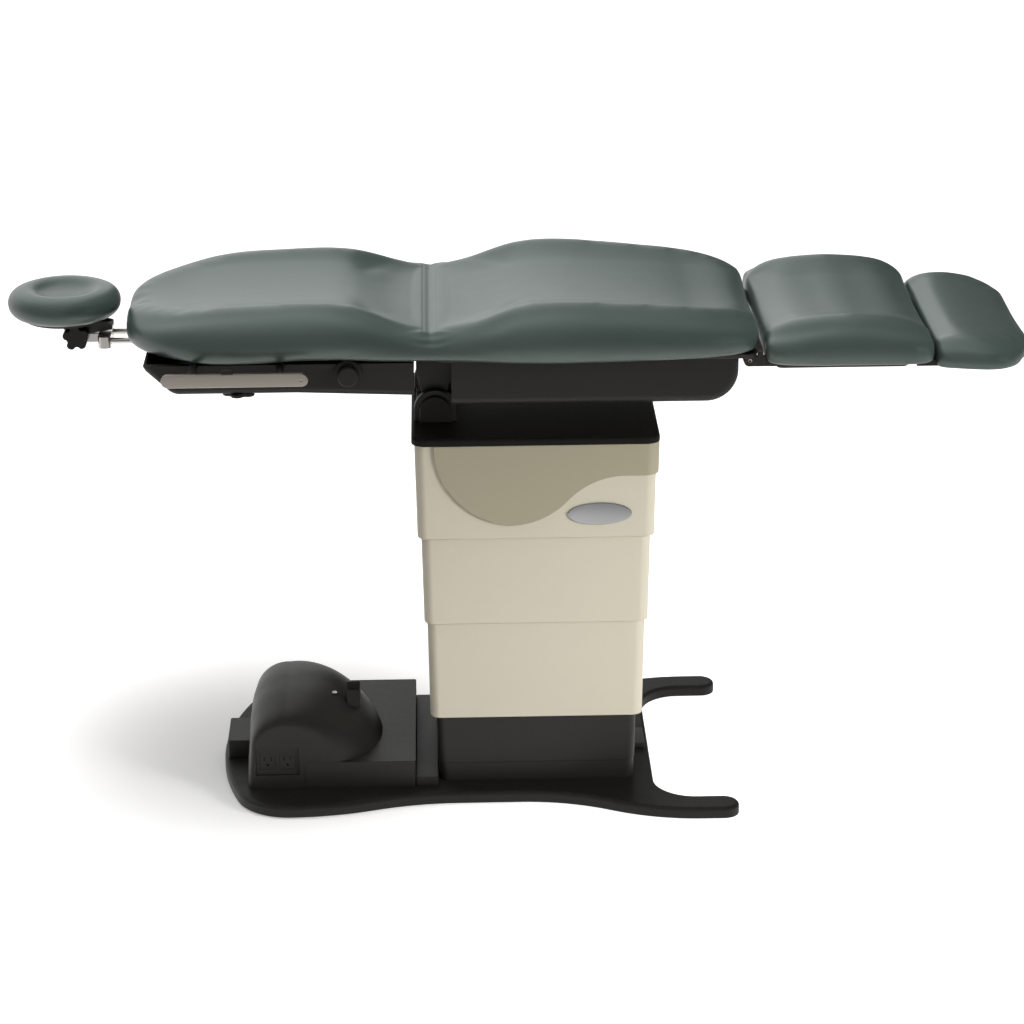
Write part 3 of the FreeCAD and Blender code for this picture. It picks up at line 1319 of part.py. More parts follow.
def build_back():
    """Back frame, housing, accessory rails and their standoffs."""
    board = new_body("back_board")
    gap = size("back_board_gap")
    x_end = size("crease_x") - gap
    x_far = num(f"{BACK_END_X} + Sizes.back_board_inset")
    curve = size("back_board_round")
    half, narrow = size("back_board_half"), 0.55 * size("back_board_half")
    lines = [*chain([(x_far + curve, -half), (x_end, -half), (x_end, half), (x_far + curve, half)],
                    closed=False),
             arc((x_far + curve, half), (x_far + 0.22 * curve, narrow), (x_far, 0)),
             arc((x_far, 0), (x_far + 0.22 * curve, -narrow), (x_far + curve, -half))]
    pad(board, sketch_on(board, "back_board_plan", "XY_Plane", lines, BOARD_Z), "Sizes.board_thickness")

    crease = (size("crease_x"), num(CREASE_Z))
    outer_face = "Sizes.hinge_plate_y + Sizes.hinge_plate + Sizes.side_gap"
    plate = eye_plate("back_hinge_plate", crease, size("hinge_eye"), crease[0] - size("hinge_foot_far"),
                      crease[0] - size("hinge_foot_near"), num(PAD_Z), outer_face, "Sizes.hinge_plate")
    bore = cylinder("back_hinge_bore", "Y", "Sizes.crease_x", "-2 * Sizes.board_half", CREASE_Z,
                    "Sizes.recline_pin_radius + Sizes.pin_clearance", "4 * Sizes.board_half")

    swing = math.radians(size("back_swing"))
    pin_x = crease[0] + size("back_lever") * math.sin(swing)
    pin_z = crease[1] - size("back_lever") * math.cos(swing)
    top, eye = num(BOARD_Z), size("lever_eye")
    lever_lines = [arc((pin_x, pin_z - eye), (pin_x + eye, pin_z), (pin_x, pin_z + eye)),
                   *chain([(pin_x, pin_z + eye), (crease[0], pin_z + eye), (x_end - gap, top),
                           (x_end - gap - size("back_lever_root"), top),
                           (x_end - size("back_lever_neck"), pin_z - eye), (pin_x, pin_z - eye)],
                          closed=False)]
    lever_y = "Sizes.back_drive_y - Sizes.lever_thickness / 2"
    lever = plate_xz("back_lever_plate", lever_lines, "-Sizes.back_drive_y - Sizes.lever_thickness / 2",
                     "Sizes.lever_thickness")
    drive = cylinder("back_drive_pin", "Y", str(pin_x), lever_y, str(pin_z), "Sizes.drive_pin_radius",
                     DRIVE_PIN)
    frame = fuse("back_frame_body", board, plate, mirrored("back_hinge_twin", plate), lever, drive)
    node(cut("back_frame", frame, bore), "back_frame")
    build_housing(pin_z - eye)

    rail = new_body("rail_blank")
    low = num(f"{BOARD_Z} + Sizes.rail_rise - Sizes.rail_height")
    half_height = size("rail_height") / 2
    left = num(RAIL_X) - size("rail_length") / 2 + half_height
    right = num(RAIL_X) + size("rail_length") / 2 - half_height
    high = low + 2 * half_height
    lines = [*chain([(left, low), (right, low)], closed=False),
             arc((right, low), (right + half_height, low + half_height), (right, high)),
             *chain([(right, high), (left, high)], closed=False),
             arc((left, high), (left - half_height, low + half_height), (left, low))]
    sketch = sketch_on(rail, "rail_outline", "XZ_Plane", lines, "Sizes.rail_outer - Sizes.rail_thickness")
    bar = pad(rail, sketch, "Sizes.rail_thickness")
    fillet(rail, bar, "Sizes.rail_round", lambda edge: edge.BoundBox.YLength < 0.01)
    posts = []
    for place, side in {"rear": "-", "front": "+"}.items():
        posts.append(cylinder("standoff_" + place, "Y", f"{RAIL_X} {side} Sizes.standoff_spacing / 2",
                              "-(Sizes.rail_outer - Sizes.rail_thickness)",
                              f"{BOARD_Z} + Sizes.rail_rise - Sizes.rail_height / 2", "Sizes.standoff_radius",
                              "Sizes.rail_outer - Sizes.rail_thickness - Sizes.housing_half"))
    node(pair("side_rails", fuse("side_rail", rail, *posts)), "side_rails")


def housing_lines(inset, past):
    """Side view of the back housing, drawn in by a wall and run past its open top."""
    rear, front = num(HOUSING_REAR_X) + inset, num(HOUSING_X) - inset
    low, top = num(HOUSING_Z) + inset, num(BOARD_Z)
    lean, heel, heel_rise = size("housing_lean"), size("housing_heel"), size("housing_heel_rise")
    turn_x = rear + size("housing_slant")
    turn_start, turn_end = (turn_x - heel, low + heel_rise), (turn_x + lean, low)
    turn_middle = (turn_x - 0.45 * heel, low + 0.25 * heel_rise)
    fall_start = (num("Sizes.crease_x - Sizes.housing_fall_run"), low)
    return [*chain([turn_end, fall_start, (front, low - size("housing_fall")), (front, top + past),
                    (rear, top + past), (rear + lean, top - size("housing_lip")), turn_start], closed=False),
            arc(turn_start, turn_middle, turn_end)]


def build_housing(lever_low):
    """Tub under the back: slanted head end, guides for the headrest rods, knob bores and a lever slot."""
    top, half = num(BOARD_Z), size("housing_half")

    def side_edge(edge):
        """True for the lower edges of the tub's flanks."""
        span = edge.BoundBox
        return span.ZMax < top - 1 and abs(abs(span.Center.y) - half) < 0.1 and span.YLength < 0.1

    body = new_body("housing_body")
    outer = pad(body, sketch_on(body, "housing_profile", "XZ_Plane", housing_lines(0.0, 0.0)),
                "2 * Sizes.housing_half", symmetric=True)
    fillet(body, outer, "Sizes.housing_edge", side_edge)
    hollow = new_body("housing_hollow")
    room_lines = housing_lines(size("housing_wall"), size("cut_past"))
    pad(hollow, sketch_on(hollow, "housing_room", "XZ_Plane", room_lines),
        "2 * (Sizes.housing_half - Sizes.housing_edge)", symmetric=True)
    guide_half = "(Sizes.rod_half_spacing + 3 * Sizes.rod_radius)"
    guide_z = f"({ROD_Z} - 2 * Sizes.rod_radius)"
    guide = box("rod_guide", f"{HOUSING_REAR_X} + Sizes.rod_guide_inset", f"-{guide_half}", guide_z,
                "Sizes.rod_guide_length", f"2 * {guide_half}", f"{BOARD_Z} - {guide_z}")
    bores = []
    for place, side in {"near": "-", "far": "+"}.items():
        bores.append(cylinder("rod_bore_" + place, "X", f"{HOUSING_REAR_X} - Sizes.rod_guide_inset",
                              f"{side}Sizes.rod_half_spacing", ROD_Z,
                              "Sizes.rod_radius + Sizes.rod_clearance",
                              "Sizes.rod_guide_length + 3 * Sizes.rod_guide_inset"))
    stems = cylinder("lock_knob_bores", "Y", KNOB_X, "-2 * Sizes.housing_half", KNOB_Z,
                     "Sizes.stem_radius + Sizes.pin_clearance", "4 * Sizes.housing_half")
    lock = cylinder("rod_lock_bore", "Z", ROD_LOCK_X, "Sizes.rod_lock_y", f"{HOUSING_Z} - Sizes.cut_past",
                    "Sizes.stem_radius + Sizes.pin_clearance", "Sizes.housing_wall + 2 * Sizes.cut_past")
    lever_slot = box("lever_slot", f"{HOUSING_X} - Sizes.back_lever_root",
                     "Sizes.back_drive_y - Sizes.lever_thickness / 2 - Sizes.side_gap",
                     f"{lever_low} - Sizes.slot_room", "Sizes.back_lever_root + Sizes.cut_past",
                     "Sizes.lever_thickness + 2 * Sizes.side_gap",
                     f"{BOARD_Z} + Sizes.cut_past + Sizes.slot_room - {lever_low}")
    bosses = []
    boss_starts = {"near": "-Sizes.housing_half - Sizes.lock_boss_length", "far": "Sizes.housing_half"}
    for side, start in boss_starts.items():
        bosses.append(cylinder("lock_boss_" + side, "Y", KNOB_X, start, KNOB_Z, "Sizes.lock_boss_radius",
                               "Sizes.lock_boss_length"))
    tub = fuse("housing_tub", cut("housing_shell", body, hollow), guide, *bosses)
    node(cut("back_housing", tub, stems, lock, lever_slot, *bores), "back_housing")


def lobed_outline(radius, lobes, swell, shoulder, root):
    """Outline of a hand knob: lobes with hollows between, as shares of a lobe's turn and of the radius."""
    lines = []
    turn = 2 * math.pi / lobes

    def at(place, reach):
        """Point at a number of lobes round the knob and a share of its radius."""
        return (radius * reach * math.cos(place * turn), radius * reach * math.sin(place * turn))

    for lobe in range(lobes):
        end = lobe + swell
        lines.append(arc(at(lobe, shoulder), at(lobe + swell / 2, 1.0), at(end, shoulder)))
        lines.append(arc(at(end, shoulder), at((end + lobe + 1) / 2, root), at(lobe + 1, shoulder)))
    return lines


def disc(radius):
    """Sketch circle about the origin."""
    return [Part.Circle(Vector(), Vector(0, 0, 1), radius)]


def build_knobs():
    """Lock knobs on the back housing and the rod lock under it."""
    for side, way in (("near", -1), ("far", 1)):
        knob = new_body("lock_knob_" + side)
        grip = pad(knob, sketch_on(knob, f"knob_disc_{side}", "XY_Plane", disc(size("lock_knob_radius")),
                                   "Sizes.face_gap"), "Sizes.lock_knob_length")
        fillet(knob, grip, "Sizes.lock_knob_round", level_at(num("Sizes.face_gap + Sizes.lock_knob_length")))
        shaft = sketch_on(knob, f"knob_stem_{side}", "XY_Plane", disc(size("stem_radius")),
                          "-Sizes.lock_boss_length - Sizes.stem_length")
        pad(knob, shaft, "Sizes.lock_boss_length + Sizes.stem_length + Sizes.cut_past")
        place = Vector(num(KNOB_X), way * num("Sizes.housing_half + Sizes.lock_boss_length"), num(KNOB_Z))
        knob.Placement = Placement(place, Rotation(Vector(1, 0, 0), -90 * way))
        node(knob, "lock_knob_" + side)

    lock = new_body("rod_lock_knob")
    outline = lobed_outline(size("rod_lock_radius"), 6, 0.64, 0.9, 0.82)
    pad(lock, sketch_on(lock, "rod_lock_outline", "XY_Plane", outline,
                        "-Sizes.face_gap - Sizes.rod_lock_height"),
        "Sizes.rod_lock_height")
    stem = sketch_on(lock, "rod_lock_shaft", "XY_Plane", disc(size("stem_radius")),
                     "-Sizes.face_gap - Sizes.cut_past")
    pad(lock, stem, "Sizes.cut_past + Sizes.face_gap + Sizes.housing_wall + Sizes.rod_lock_stem")
    lock.Placement = Placement(Vector(num(ROD_LOCK_X), size("rod_lock_y"), num(HOUSING_Z)), Rotation())
    node(lock, "rod_lock_knob")


def build_headrest():
    """Headrest rods with their cross block, tilting bracket, star knob and round dished pad."""
    rods = []
    for place, side in {"near": "-", "far": "+"}.items():
        rods.append(cylinder("rod_" + place, "X", f"{CROSS_X} + Sizes.side_gap",
                             f"{side}Sizes.rod_half_spacing",
                             ROD_Z, "Sizes.rod_radius",
                             f"Sizes.crease_x - Sizes.rod_run - {CROSS_X} - Sizes.side_gap"))
    block = new_body("cross_block")
    plan = rectangle_on(block, "cross_block_plan", f"{CROSS_X} + Sizes.cross_block_length / 2",
                        "Sizes.cross_block_length", "2 * Sizes.cross_block_half",
                        f"{ROD_Z} - Sizes.cross_block_height / 2")
    fillet(block, pad(block, plan, "Sizes.cross_block_height"), "Sizes.cross_block_round", upright)
    neck = box("cross_neck", HEAD_X, "-Sizes.head_lug_half", f"{ROD_Z} - Sizes.cross_neck_height / 2",
               "Sizes.cross_block_gap + Sizes.cross_block_length / 2", "2 * Sizes.head_lug_half",
               "Sizes.cross_neck_height")
    lug = cylinder("head_lug", "Y", HEAD_X, "-Sizes.head_lug_half", HEAD_Z, "Sizes.head_lug_radius",
                   "2 * Sizes.head_lug_half")
    bore = cylinder("head_lug_bore", "Y", HEAD_X, "-3 * Sizes.head_lug_half", HEAD_Z,
                    "Sizes.head_pin_radius + Sizes.pin_clearance", "6 * Sizes.head_lug_half")
    node(cut("headrest_rods", fuse("headrest_rod_body", block, neck, lug, *rods), bore), "headrest_rods")

    plate_z = f"({ROD_Z} + Sizes.head_plate_rise)"
    plate = cylinder("head_plate", "Z", HEAD_CENTRE_X, "0", plate_z, "Sizes.head_plate_radius",
                     "Sizes.head_plate_thickness")
    x, z = num(HEAD_X), num(HEAD_Z)
    top, eye = num(plate_z), size("head_lug_radius")
    web_x, web_low = x + size("head_web_reach"), z + size("head_web_rise")
    web_high = web_low + size("head_web_thickness")
    ear_lines = [arc((x + eye, z), (x, z - eye), (x - eye, z)),
                 *chain([(x - eye, z), (x - size("head_ear_reach"), top),
                         (x + size("head_ear_shoulder"), top), (web_x, web_high),
                         (web_x, web_low - size("head_web_step")), (x + eye, z)], closed=False)]
    ear = plate_xz("head_ear", ear_lines, "Sizes.head_lug_half + Sizes.side_gap", "Sizes.head_ear")
    pin_half = "(Sizes.head_lug_half + Sizes.side_gap + Sizes.head_ear)"
    web = box("head_web", f"{HEAD_X} + Sizes.head_ear_shoulder", f"-{pin_half}", str(web_low),
              "Sizes.head_web_reach - Sizes.head_ear_shoulder", f"2 * {pin_half}", "Sizes.head_web_thickness")
    pin = cylinder("head_pin", "Y", HEAD_X, f"-{pin_half} - Sizes.star_knob_length / 2", HEAD_Z,
                   "Sizes.head_pin_radius", f"2 * {pin_half} + Sizes.star_knob_length / 2")
    node(fuse("headrest_bracket", plate, ear, mirrored("head_ear_twin", ear), web, pin), "headrest_bracket")

    star = new_body("headrest_knob")
    outline = lobed_outline(size("star_knob_radius"), 5, 0.6, 0.86, 0.7)
    pad(star, sketch_on(star, "star_outline", "XY_Plane", outline), "Sizes.star_knob_length")
    hole = sketch_on(star, "star_hole", "XY_Plane", disc(num("Sizes.head_pin_radius + Sizes.pin_clearance")))
    pocket(star, hole, "Sizes.star_knob_length / 2 + Sizes.cut_past", reverse=True)
    star.Placement = Placement(Vector(x, -num(f"{pin_half} + Sizes.face_gap"), z),
                               Rotation(Vector(1, 0, 0), 90))
    node(star, "headrest_knob")
    build_head_pad(num(f"{plate_z} + Sizes.head_plate_thickness"))


def build_head_pad(low):
    """Round cushion with a bulging rim and a dished middle, turned from one profile."""
    reach, thick = size("head_radius"), size("head_thickness")
    dish, depth = size("head_dish_radius"), size("head_dish_depth")
    body = new_body("headrest_pad")
    foot = 0.82 * reach
    crown_r = dish + 0.55 * (reach - dish)
    slope = (0.92 * dish, thick - 0.55 * depth)
    lines = [
        *chain([(0, 0), (foot, 0)], closed=False),
        arc((foot, 0), (reach, 0.46 * thick), (crown_r, thick)),
        arc((crown_r, thick), (dish + 0.12 * (reach - dish), thick - 0.16 * depth), slope),
        arc(slope, (0.62 * dish, thick - 0.9 * depth), (0.3 * dish, thick - depth)),
        *chain([(0.3 * dish, thick - depth), (0, thick - depth), (0, 0)], closed=False),
    ]
    sketch = sketch_on(body, "head_profile", "XZ_Plane", lines)
    turned = body.newObject("PartDesign::Revolution", "head_turned")
    turned.Profile = sketch
    turned.ReferenceAxis = (sketch, ["V_Axis"])
    turned.Angle = 360.0
    doc.recompute()
    body.Placement = Placement(Vector(num(HEAD_CENTRE_X), 0, low), Rotation())
    node(body, "headrest_pad")


def build_foot():
    """Foot frame with hinge arms, shallow pan and slide guides, and its pad."""
    board_length = "(Sizes.foot_length - Sizes.foot_board_start - Sizes.foot_board_end)"
    board = new_body("foot_board")
    plan = rectangle_on(board, "foot_board_plan", f"{FOOT_BOARD_X} + {board_length} / 2", board_length,
                        "2 * Sizes.foot_board_half", FOOT_BOARD_Z)
    fillet(board, pad(board, plan, "Sizes.foot_board_thickness"), "Sizes.foot_board_corner", upright)
    pan_z = f"({FOOT_BOARD_Z} - Sizes.foot_pan_depth)"
    pan_length = f"({FOOT_END_X} - Sizes.foot_pan_end - {FOOT_PAN_X})"
    pan = new_body("foot_pan_body")
    plan = rectangle_on(pan, "foot_pan_plan", f"{FOOT_PAN_X} + {pan_length} / 2", pan_length,
                        "2 * Sizes.foot_pan_half", pan_z)
    tray = pad(pan, plan, "Sizes.foot_pan_depth")
    corners = fillet(pan, tray, "Sizes.foot_pan_corner", upright)
    fillet(pan, corners, "Sizes.foot_pan_round", level_at(num(pan_z)))
    guides = []
    clear = "Sizes.side_gap / 2"
    for place, side in {"near": "-", "far": "+"}.items():
        guides.append(box("guide_" + place, f"{FOOT_PAN_X} + Sizes.foot_pan_wall",
                          f"{side}Sizes.slide_y - Sizes.slide_width / 2 - {clear}",
                          f"{FOOT_BOARD_Z} - Sizes.slide_height - {clear}", pan_length,
                          f"Sizes.slide_width + 2 * {clear}", f"Sizes.slide_height + {clear}"))
    x, z, eye = num(FOOT_X), num(FOOT_Z), size("foot_arm_eye")
    arm_end, arm_top = x + size("foot_arm_length"), num(FOOT_PAD_Z)
    tab_start = num(f"{FOOT_X} + Sizes.foot_eye + Sizes.foot_tab_gap")
    tab_end, tab_top = num(f"{FOOT_START_X} - Sizes.side_gap"), num(f"{PAD_Z} - Sizes.foot_tab_gap")
    arm_lines = [arc((x, z - eye), (x - eye, z), (x, arm_top)),
                 *chain([(x, arm_top), (tab_start, arm_top), (tab_start, tab_top), (tab_end, tab_top),
                         (tab_end, arm_top), (arm_end, arm_top), (arm_end, z - eye), (x, z - eye)],
                        closed=False)]
    arm = plate_xz("foot_arm", arm_lines, "Sizes.foot_ear_y + Sizes.foot_ear_thickness + Sizes.side_gap",
                   "Sizes.foot_arm_thickness")
    pin = cylinder("foot_pin", "Y", FOOT_X, "Sizes.foot_ear_y - Sizes.pin_proud", FOOT_Z,
                   "Sizes.foot_pin_radius",
                   "Sizes.pin_proud + Sizes.foot_ear_thickness + Sizes.side_gap + Sizes.foot_arm_thickness")
    swing, reach = math.radians(size("foot_swing")), size("foot_lever_eye")
    drive_x = x + size("foot_lever") * math.sin(swing)
    drive_z = z - size("foot_lever") * math.cos(swing)
    root_x, root_z = num(FOOT_BOARD_X), num(FOOT_BOARD_Z) + size("cut_past")
    lever_lines = [arc((drive_x + reach, drive_z), (drive_x, drive_z - reach), (drive_x - reach, drive_z)),
                   *chain([(drive_x - reach, drive_z), (root_x + size("cut_past"), root_z),
                           (root_x + size("foot_lever_root"), root_z), (drive_x + reach, drive_z)],
                          closed=False)]
    lever = plate_xz("foot_lever_plate", lever_lines, "-Sizes.foot_drive_y - Sizes.lever_thickness / 2",
                     "Sizes.lever_thickness")
    drive_pin = cylinder("foot_drive_pin", "Y", str(drive_x),
                         "Sizes.foot_drive_y - Sizes.lever_thickness / 2", str(drive_z),
                         "Sizes.drive_pin_radius", DRIVE_PIN)
    sides = []
    for piece in (arm, pin):
        sides += [piece, mirrored(piece.Name + "_twin", piece)]
    frame = fuse("foot_frame_body", board, cut("foot_pan", pan, *guides), lever, drive_pin, *sides)
    node(frame, "foot_frame")

    runs = [0.0, 0.012, 0.05, 0.12, 0.3, 0.5, 0.7, 0.88, 0.95, 0.988, 1.0]
    node(solid("foot_pad", Part.makeLoft([foot_section(share) for share in runs], True, False)), "foot_pad")


def foot_section(share):
    """Foot pad's cross-section at a share of its length."""
    length, run = size("foot_length"), share * size("foot_length")
    narrow = end_round(min(run, length - run), size("foot_end_round"), 2.2)
    rise = size("foot_crest") - size("foot_end_fall") * (2 * share - 1) ** 2
    return pad_section(num(FOOT_START_X) + run, num(FOOT_PAD_Z),
                       size("foot_base_half") * (1 - 0.10 * (1 - narrow)),
                       size("foot_rim_half") * (1 - 0.16 * (1 - narrow)), rise * (1 - 0.38 * (1 - narrow)),
                       size("pad_dish") * narrow)


def extension_section(share):
    """Extension pad's cross-section at a share of its length, round at the foot end."""
    length, run = size("extension_length"), share * size("extension_length")
    near = end_round(run, size("foot_end_round"), 2.2)
    far = end_round(length - run + 6, size("extension_end_round"), 2.4)
    rise = size("extension_crest") - size("extension_end_fall") * share ** 2
    return pad_section(num(EXTENSION_X) + run, num(EXTENSION_Z),
                       size("extension_base_half") * (1 - 0.08 * (1 - near)) * blend(far, 1.0, 0.35),
                       size("extension_rim_half") * (1 - 0.12 * (1 - near)) * blend(far, 1.0, 0.25),
                       rise * (1 - 0.36 * (1 - near)) * blend(far, 1.0, 0.6),
                       size("pad_dish") * near * far / 2)


def build_extension():
    """Foot extension: slides that run in the foot pan, board, under-handle and pad."""
    inset = size("extension_board_inset")
    start, length = num(EXTENSION_X), size("extension_length")
    board_z = f"({EXTENSION_Z} - Sizes.extension_board_thickness)"
    half = size("extension_base_half") - inset
    front, low = start + length - inset, start + 0.45 * length
    tongue = start - size("extension_tongue")
    lines = [*chain([(low, half), (tongue, half), (tongue, -half), (low, -half)], closed=False),
             arc((low, -half), (front - 0.28 * (front - low), -0.66 * half), (front, 0)),
             arc((front, 0), (front - 0.28 * (front - low), 0.66 * half), (low, half))]
    board = new_body("extension_board")
    pad(board, sketch_on(board, "extension_plan", "XY_Plane", lines, board_z),
        "Sizes.extension_board_thickness")

    slide_top = f"({FOOT_BOARD_Z} - Sizes.side_gap / 4)"
    slide_x = f"({FOOT_PAN_X} + Sizes.foot_pan_wall + Sizes.slide_end_gap)"
    slides = []
    for place, side in {"near": "-", "far": "+"}.items():
        slides.append(box("slide_" + place, slide_x, f"{side}Sizes.slide_y - Sizes.slide_width / 2",
                          f"{slide_top} - Sizes.slide_height", f"{EXTENSION_X} - Sizes.side_gap - {slide_x}",
                          "Sizes.slide_width", "Sizes.slide_height"))
    handle_z = f"({board_z} - Sizes.handle_depth)"
    handle = new_body("handle_bar")
    plan = rectangle_on(handle, "handle_plan",
                        f"{EXTENSION_X} + Sizes.handle_start + Sizes.handle_length / 2",
                        "Sizes.handle_length", "2 * Sizes.handle_half", handle_z)
    bar = pad(handle, plan, "Sizes.handle_depth")
    corners = fillet(handle, bar, "Sizes.handle_corner", upright)
    fillet(handle, corners, "Sizes.handle_round", level_at(num(handle_z)))
    node(fuse("extension_frame", board, handle, *slides), "extension_frame")

    runs = [0.0, 0.02, 0.08, 0.18, 0.35, 0.5, 0.62, 0.74, 0.84, 0.92, 0.97, 1.0]
    node(solid("extension_pad", Part.makeLoft([extension_section(share) for share in runs], True, False)),
         "extension_pad")


def actuator(name, axis_y, axis_z, pin_x, front, way, inside, slot_low, slot_high):
    """Linear actuator under the seat board and its rod with a slotted head; way is the rod's direction."""
    length, hanger_length = size("actuator_length"), size("hanger_length")
    start = front if way < 0 else front - length
    y, z = str(axis_y), str(axis_z)
    barrel = cylinder(name + "_barrel", "X", str(start), y, z, "Sizes.actuator_radius",
                      "Sizes.actuator_length")
    tail = start + length - hanger_length if way < 0 else start
    hanger = box(name + "_hanger", str(tail), f"{axis_y} - Sizes.hanger_width / 2", z, "Sizes.hanger_length",
                 "Sizes.hanger_width", f"{BOARD_Z} - {axis_z}")
    motor_run = size("drive_motor_length") + size("drive_motor_gap")
    motor_x = tail - motor_run if way < 0 else tail + hanger_length + size("drive_motor_gap")
    motor = cylinder(name + "_motor", "X", str(motor_x), y, z,
                     "Sizes.actuator_radius + Sizes.drive_motor_swell",
                     "Sizes.drive_motor_length")
    bore_x = f"{start} - Sizes.cut_past" if way < 0 else f"{start} + Sizes.actuator_end"
    bore = cylinder(name + "_bore", "X", bore_x, y, z, "Sizes.actuator_rod_radius + Sizes.actuator_clearance",
                    "Sizes.actuator_length - Sizes.actuator_end + Sizes.cut_past")
    node(cut(name + "_actuator", fuse(name + "_actuator_body", barrel, hanger, motor), bore),
         name + "_actuator")

    half = size("yoke_half_length")
    root, inner_end = pin_x - way * half, front - way * inside
    rod = cylinder(name + "_bar", "X", str(min(root, inner_end)), y, z, "Sizes.actuator_rod_radius",
                   str(abs(root - inner_end)))
    clearance = size("drive_pin_radius") + size("drive_slot_clearance")
    low, high = slot_low - clearance, slot_high + clearance
    head = box(name + "_head", str(pin_x - half), f"{axis_y} - Sizes.yoke_thickness / 2",
               f"{low} - Sizes.yoke_wall", "2 * Sizes.yoke_half_length", "Sizes.yoke_thickness",
               f"{high} - {low} + 2 * Sizes.yoke_wall")
    slot = box(name + "_slot", str(pin_x - clearance), f"{axis_y} - Sizes.yoke_thickness", str(low),
               str(2 * clearance), "2 * Sizes.yoke_thickness", str(high - low))
    node(cut(name + "_rod", fuse(name + "_rod_body", rod, head), slot), name + "_rod")


def build_actuators():
    """Back, tilt and foot actuators: each rod's slotted head drives a pin on the lever of what it moves."""
    beside = size("lever_thickness") / 2 + size("lever_gap") + size("yoke_thickness") / 2
    swing, reach, x = math.radians(size("back_swing")), size("back_lever"), size("crease_x")
    low, high = num(CREASE_Z) - reach, num(CREASE_Z) - reach * math.cos(swing)
    actuator("back", size("back_drive_y") + beside, (low + high) / 2, x + reach * math.sin(swing),
             x + size("back_actuator_run"), -1, size("back_rod_inside"), low, high)
    swing, reach, x = math.radians(size("tilt_swing")), size("tilt_lever"), size("tilt_x")
    low, high = num(TILT_Z) + reach * math.cos(swing), num(TILT_Z) + reach
    actuator("tilt", size("tilt_drive_y") - beside, (low + high) / 2, x - reach * math.sin(swing),
             x + size("tilt_actuator_run"), -1, size("tilt_rod_inside"), low, high)
    swing, reach, x = math.radians(size("foot_swing")), size("foot_lever"), num(FOOT_X)
    low, high = num(FOOT_Z) - reach, num(FOOT_Z) - reach * math.cos(swing)
    actuator("foot", size("foot_drive_y") + beside, (low + high) / 2, x + reach * math.sin(swing),
             x - size("foot_actuator_run"), 1, size("foot_rod_inside"), low, high)


build_base()
build_covers()
build_lift()
build_pump()
build_stanchions()
build_seat()
build_pads()
build_back()
build_knobs()
build_headrest()
build_foot()
build_extension()
build_actuators()
doc.recompute()

for item in doc.Objects:
    if "Invalid" in item.State or "Error" in item.State:
        raise RuntimeError(f"{item.Label} failed to build")
for item in finished:
    if item.Shape.isNull() or not item.Shape.isValid() or not item.Shape.Solids:
        raise RuntimeError(f"{item.Label} has no valid solid")

os.makedirs("parts", exist_ok=True)
for item in finished:
    item.Shape.exportStep(os.path.join("parts", item.Label + ".step"))
    print(f"{item.Label}: {len(item.Shape.Solids)} solids, {item.Shape.Volume / 1e6:.4f} litres")
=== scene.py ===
"""Finish of the powered procedure chair: materials, upholstery, rounded edges, small trim, light and camera.

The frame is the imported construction, in metres: +X to the foot end, +Y to the far side, +Z up.
"""

import json
import math

import bmesh
import bpy
import numpy as np
from mathutils import Matrix, Vector


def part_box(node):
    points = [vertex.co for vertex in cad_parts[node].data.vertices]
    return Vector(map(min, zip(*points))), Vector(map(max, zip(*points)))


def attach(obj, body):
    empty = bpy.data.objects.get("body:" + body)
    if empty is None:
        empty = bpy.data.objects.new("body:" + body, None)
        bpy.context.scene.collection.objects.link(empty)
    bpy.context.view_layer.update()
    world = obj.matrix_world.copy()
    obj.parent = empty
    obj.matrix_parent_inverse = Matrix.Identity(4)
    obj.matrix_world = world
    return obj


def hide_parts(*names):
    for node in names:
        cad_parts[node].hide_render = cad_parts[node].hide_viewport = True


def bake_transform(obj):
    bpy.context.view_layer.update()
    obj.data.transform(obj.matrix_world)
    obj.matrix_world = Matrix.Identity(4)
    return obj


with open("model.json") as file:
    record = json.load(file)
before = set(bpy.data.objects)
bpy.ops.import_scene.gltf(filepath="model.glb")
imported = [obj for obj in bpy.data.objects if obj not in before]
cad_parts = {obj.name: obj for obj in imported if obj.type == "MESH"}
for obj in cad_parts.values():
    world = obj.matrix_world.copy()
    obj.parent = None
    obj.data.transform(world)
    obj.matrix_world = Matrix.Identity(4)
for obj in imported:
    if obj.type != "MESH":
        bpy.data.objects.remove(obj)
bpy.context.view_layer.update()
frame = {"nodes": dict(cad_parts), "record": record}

NODES = frame["nodes"]
BODY_OF = {node: body for body, nodes in frame["record"]["behaviour"]["bodies"].items() for node in nodes}
SLOT_OF = {row["node"]: row["material_slot"] for row in frame["record"]["subparts"]}
MM = 0.001


# Node groups that several finishes share

def group_sockets(group, inputs, outputs):
    """Give a node group its named sockets."""
    for name, kind, amount in inputs:
        socket = group.interface.new_socket(name=name, in_out="INPUT", socket_type=kind)
        socket.default_value = amount
    for name, kind in outputs:
        group.interface.new_socket(name=name, in_out="OUTPUT", socket_type=kind)


def wire(tree, start, outlet, end, inlet):
    """Link two nodes by the names or numbers of their sockets."""
    tree.links.new(start.outputs[outlet], end.inputs[inlet])


def math_node(tree, operation, first, second):
    """Math node; each operand is a number or a (node, outlet) pair."""
    node = tree.nodes.new("ShaderNodeMath")
    node.operation = operation
    for slot, operand in enumerate((first, second)):
        if isinstance(operand, tuple):
            wire(tree, operand[0], operand[1], node, slot)
        else:
            node.inputs[slot].default_value = operand
    return node


def map_range(tree, source, reach, amounts):
    """Smooth change from one amount to another over a reach of a value."""
    node = tree.nodes.new("ShaderNodeMapRange")
    node.interpolation_type = "SMOOTHSTEP"
    for socket, amount in zip(("From Min", "From Max", "To Min", "To Max"), (*reach, *amounts)):
        node.inputs[socket].default_value = amount
    wire(tree, source[0], source[1], node, "Value")
    return node


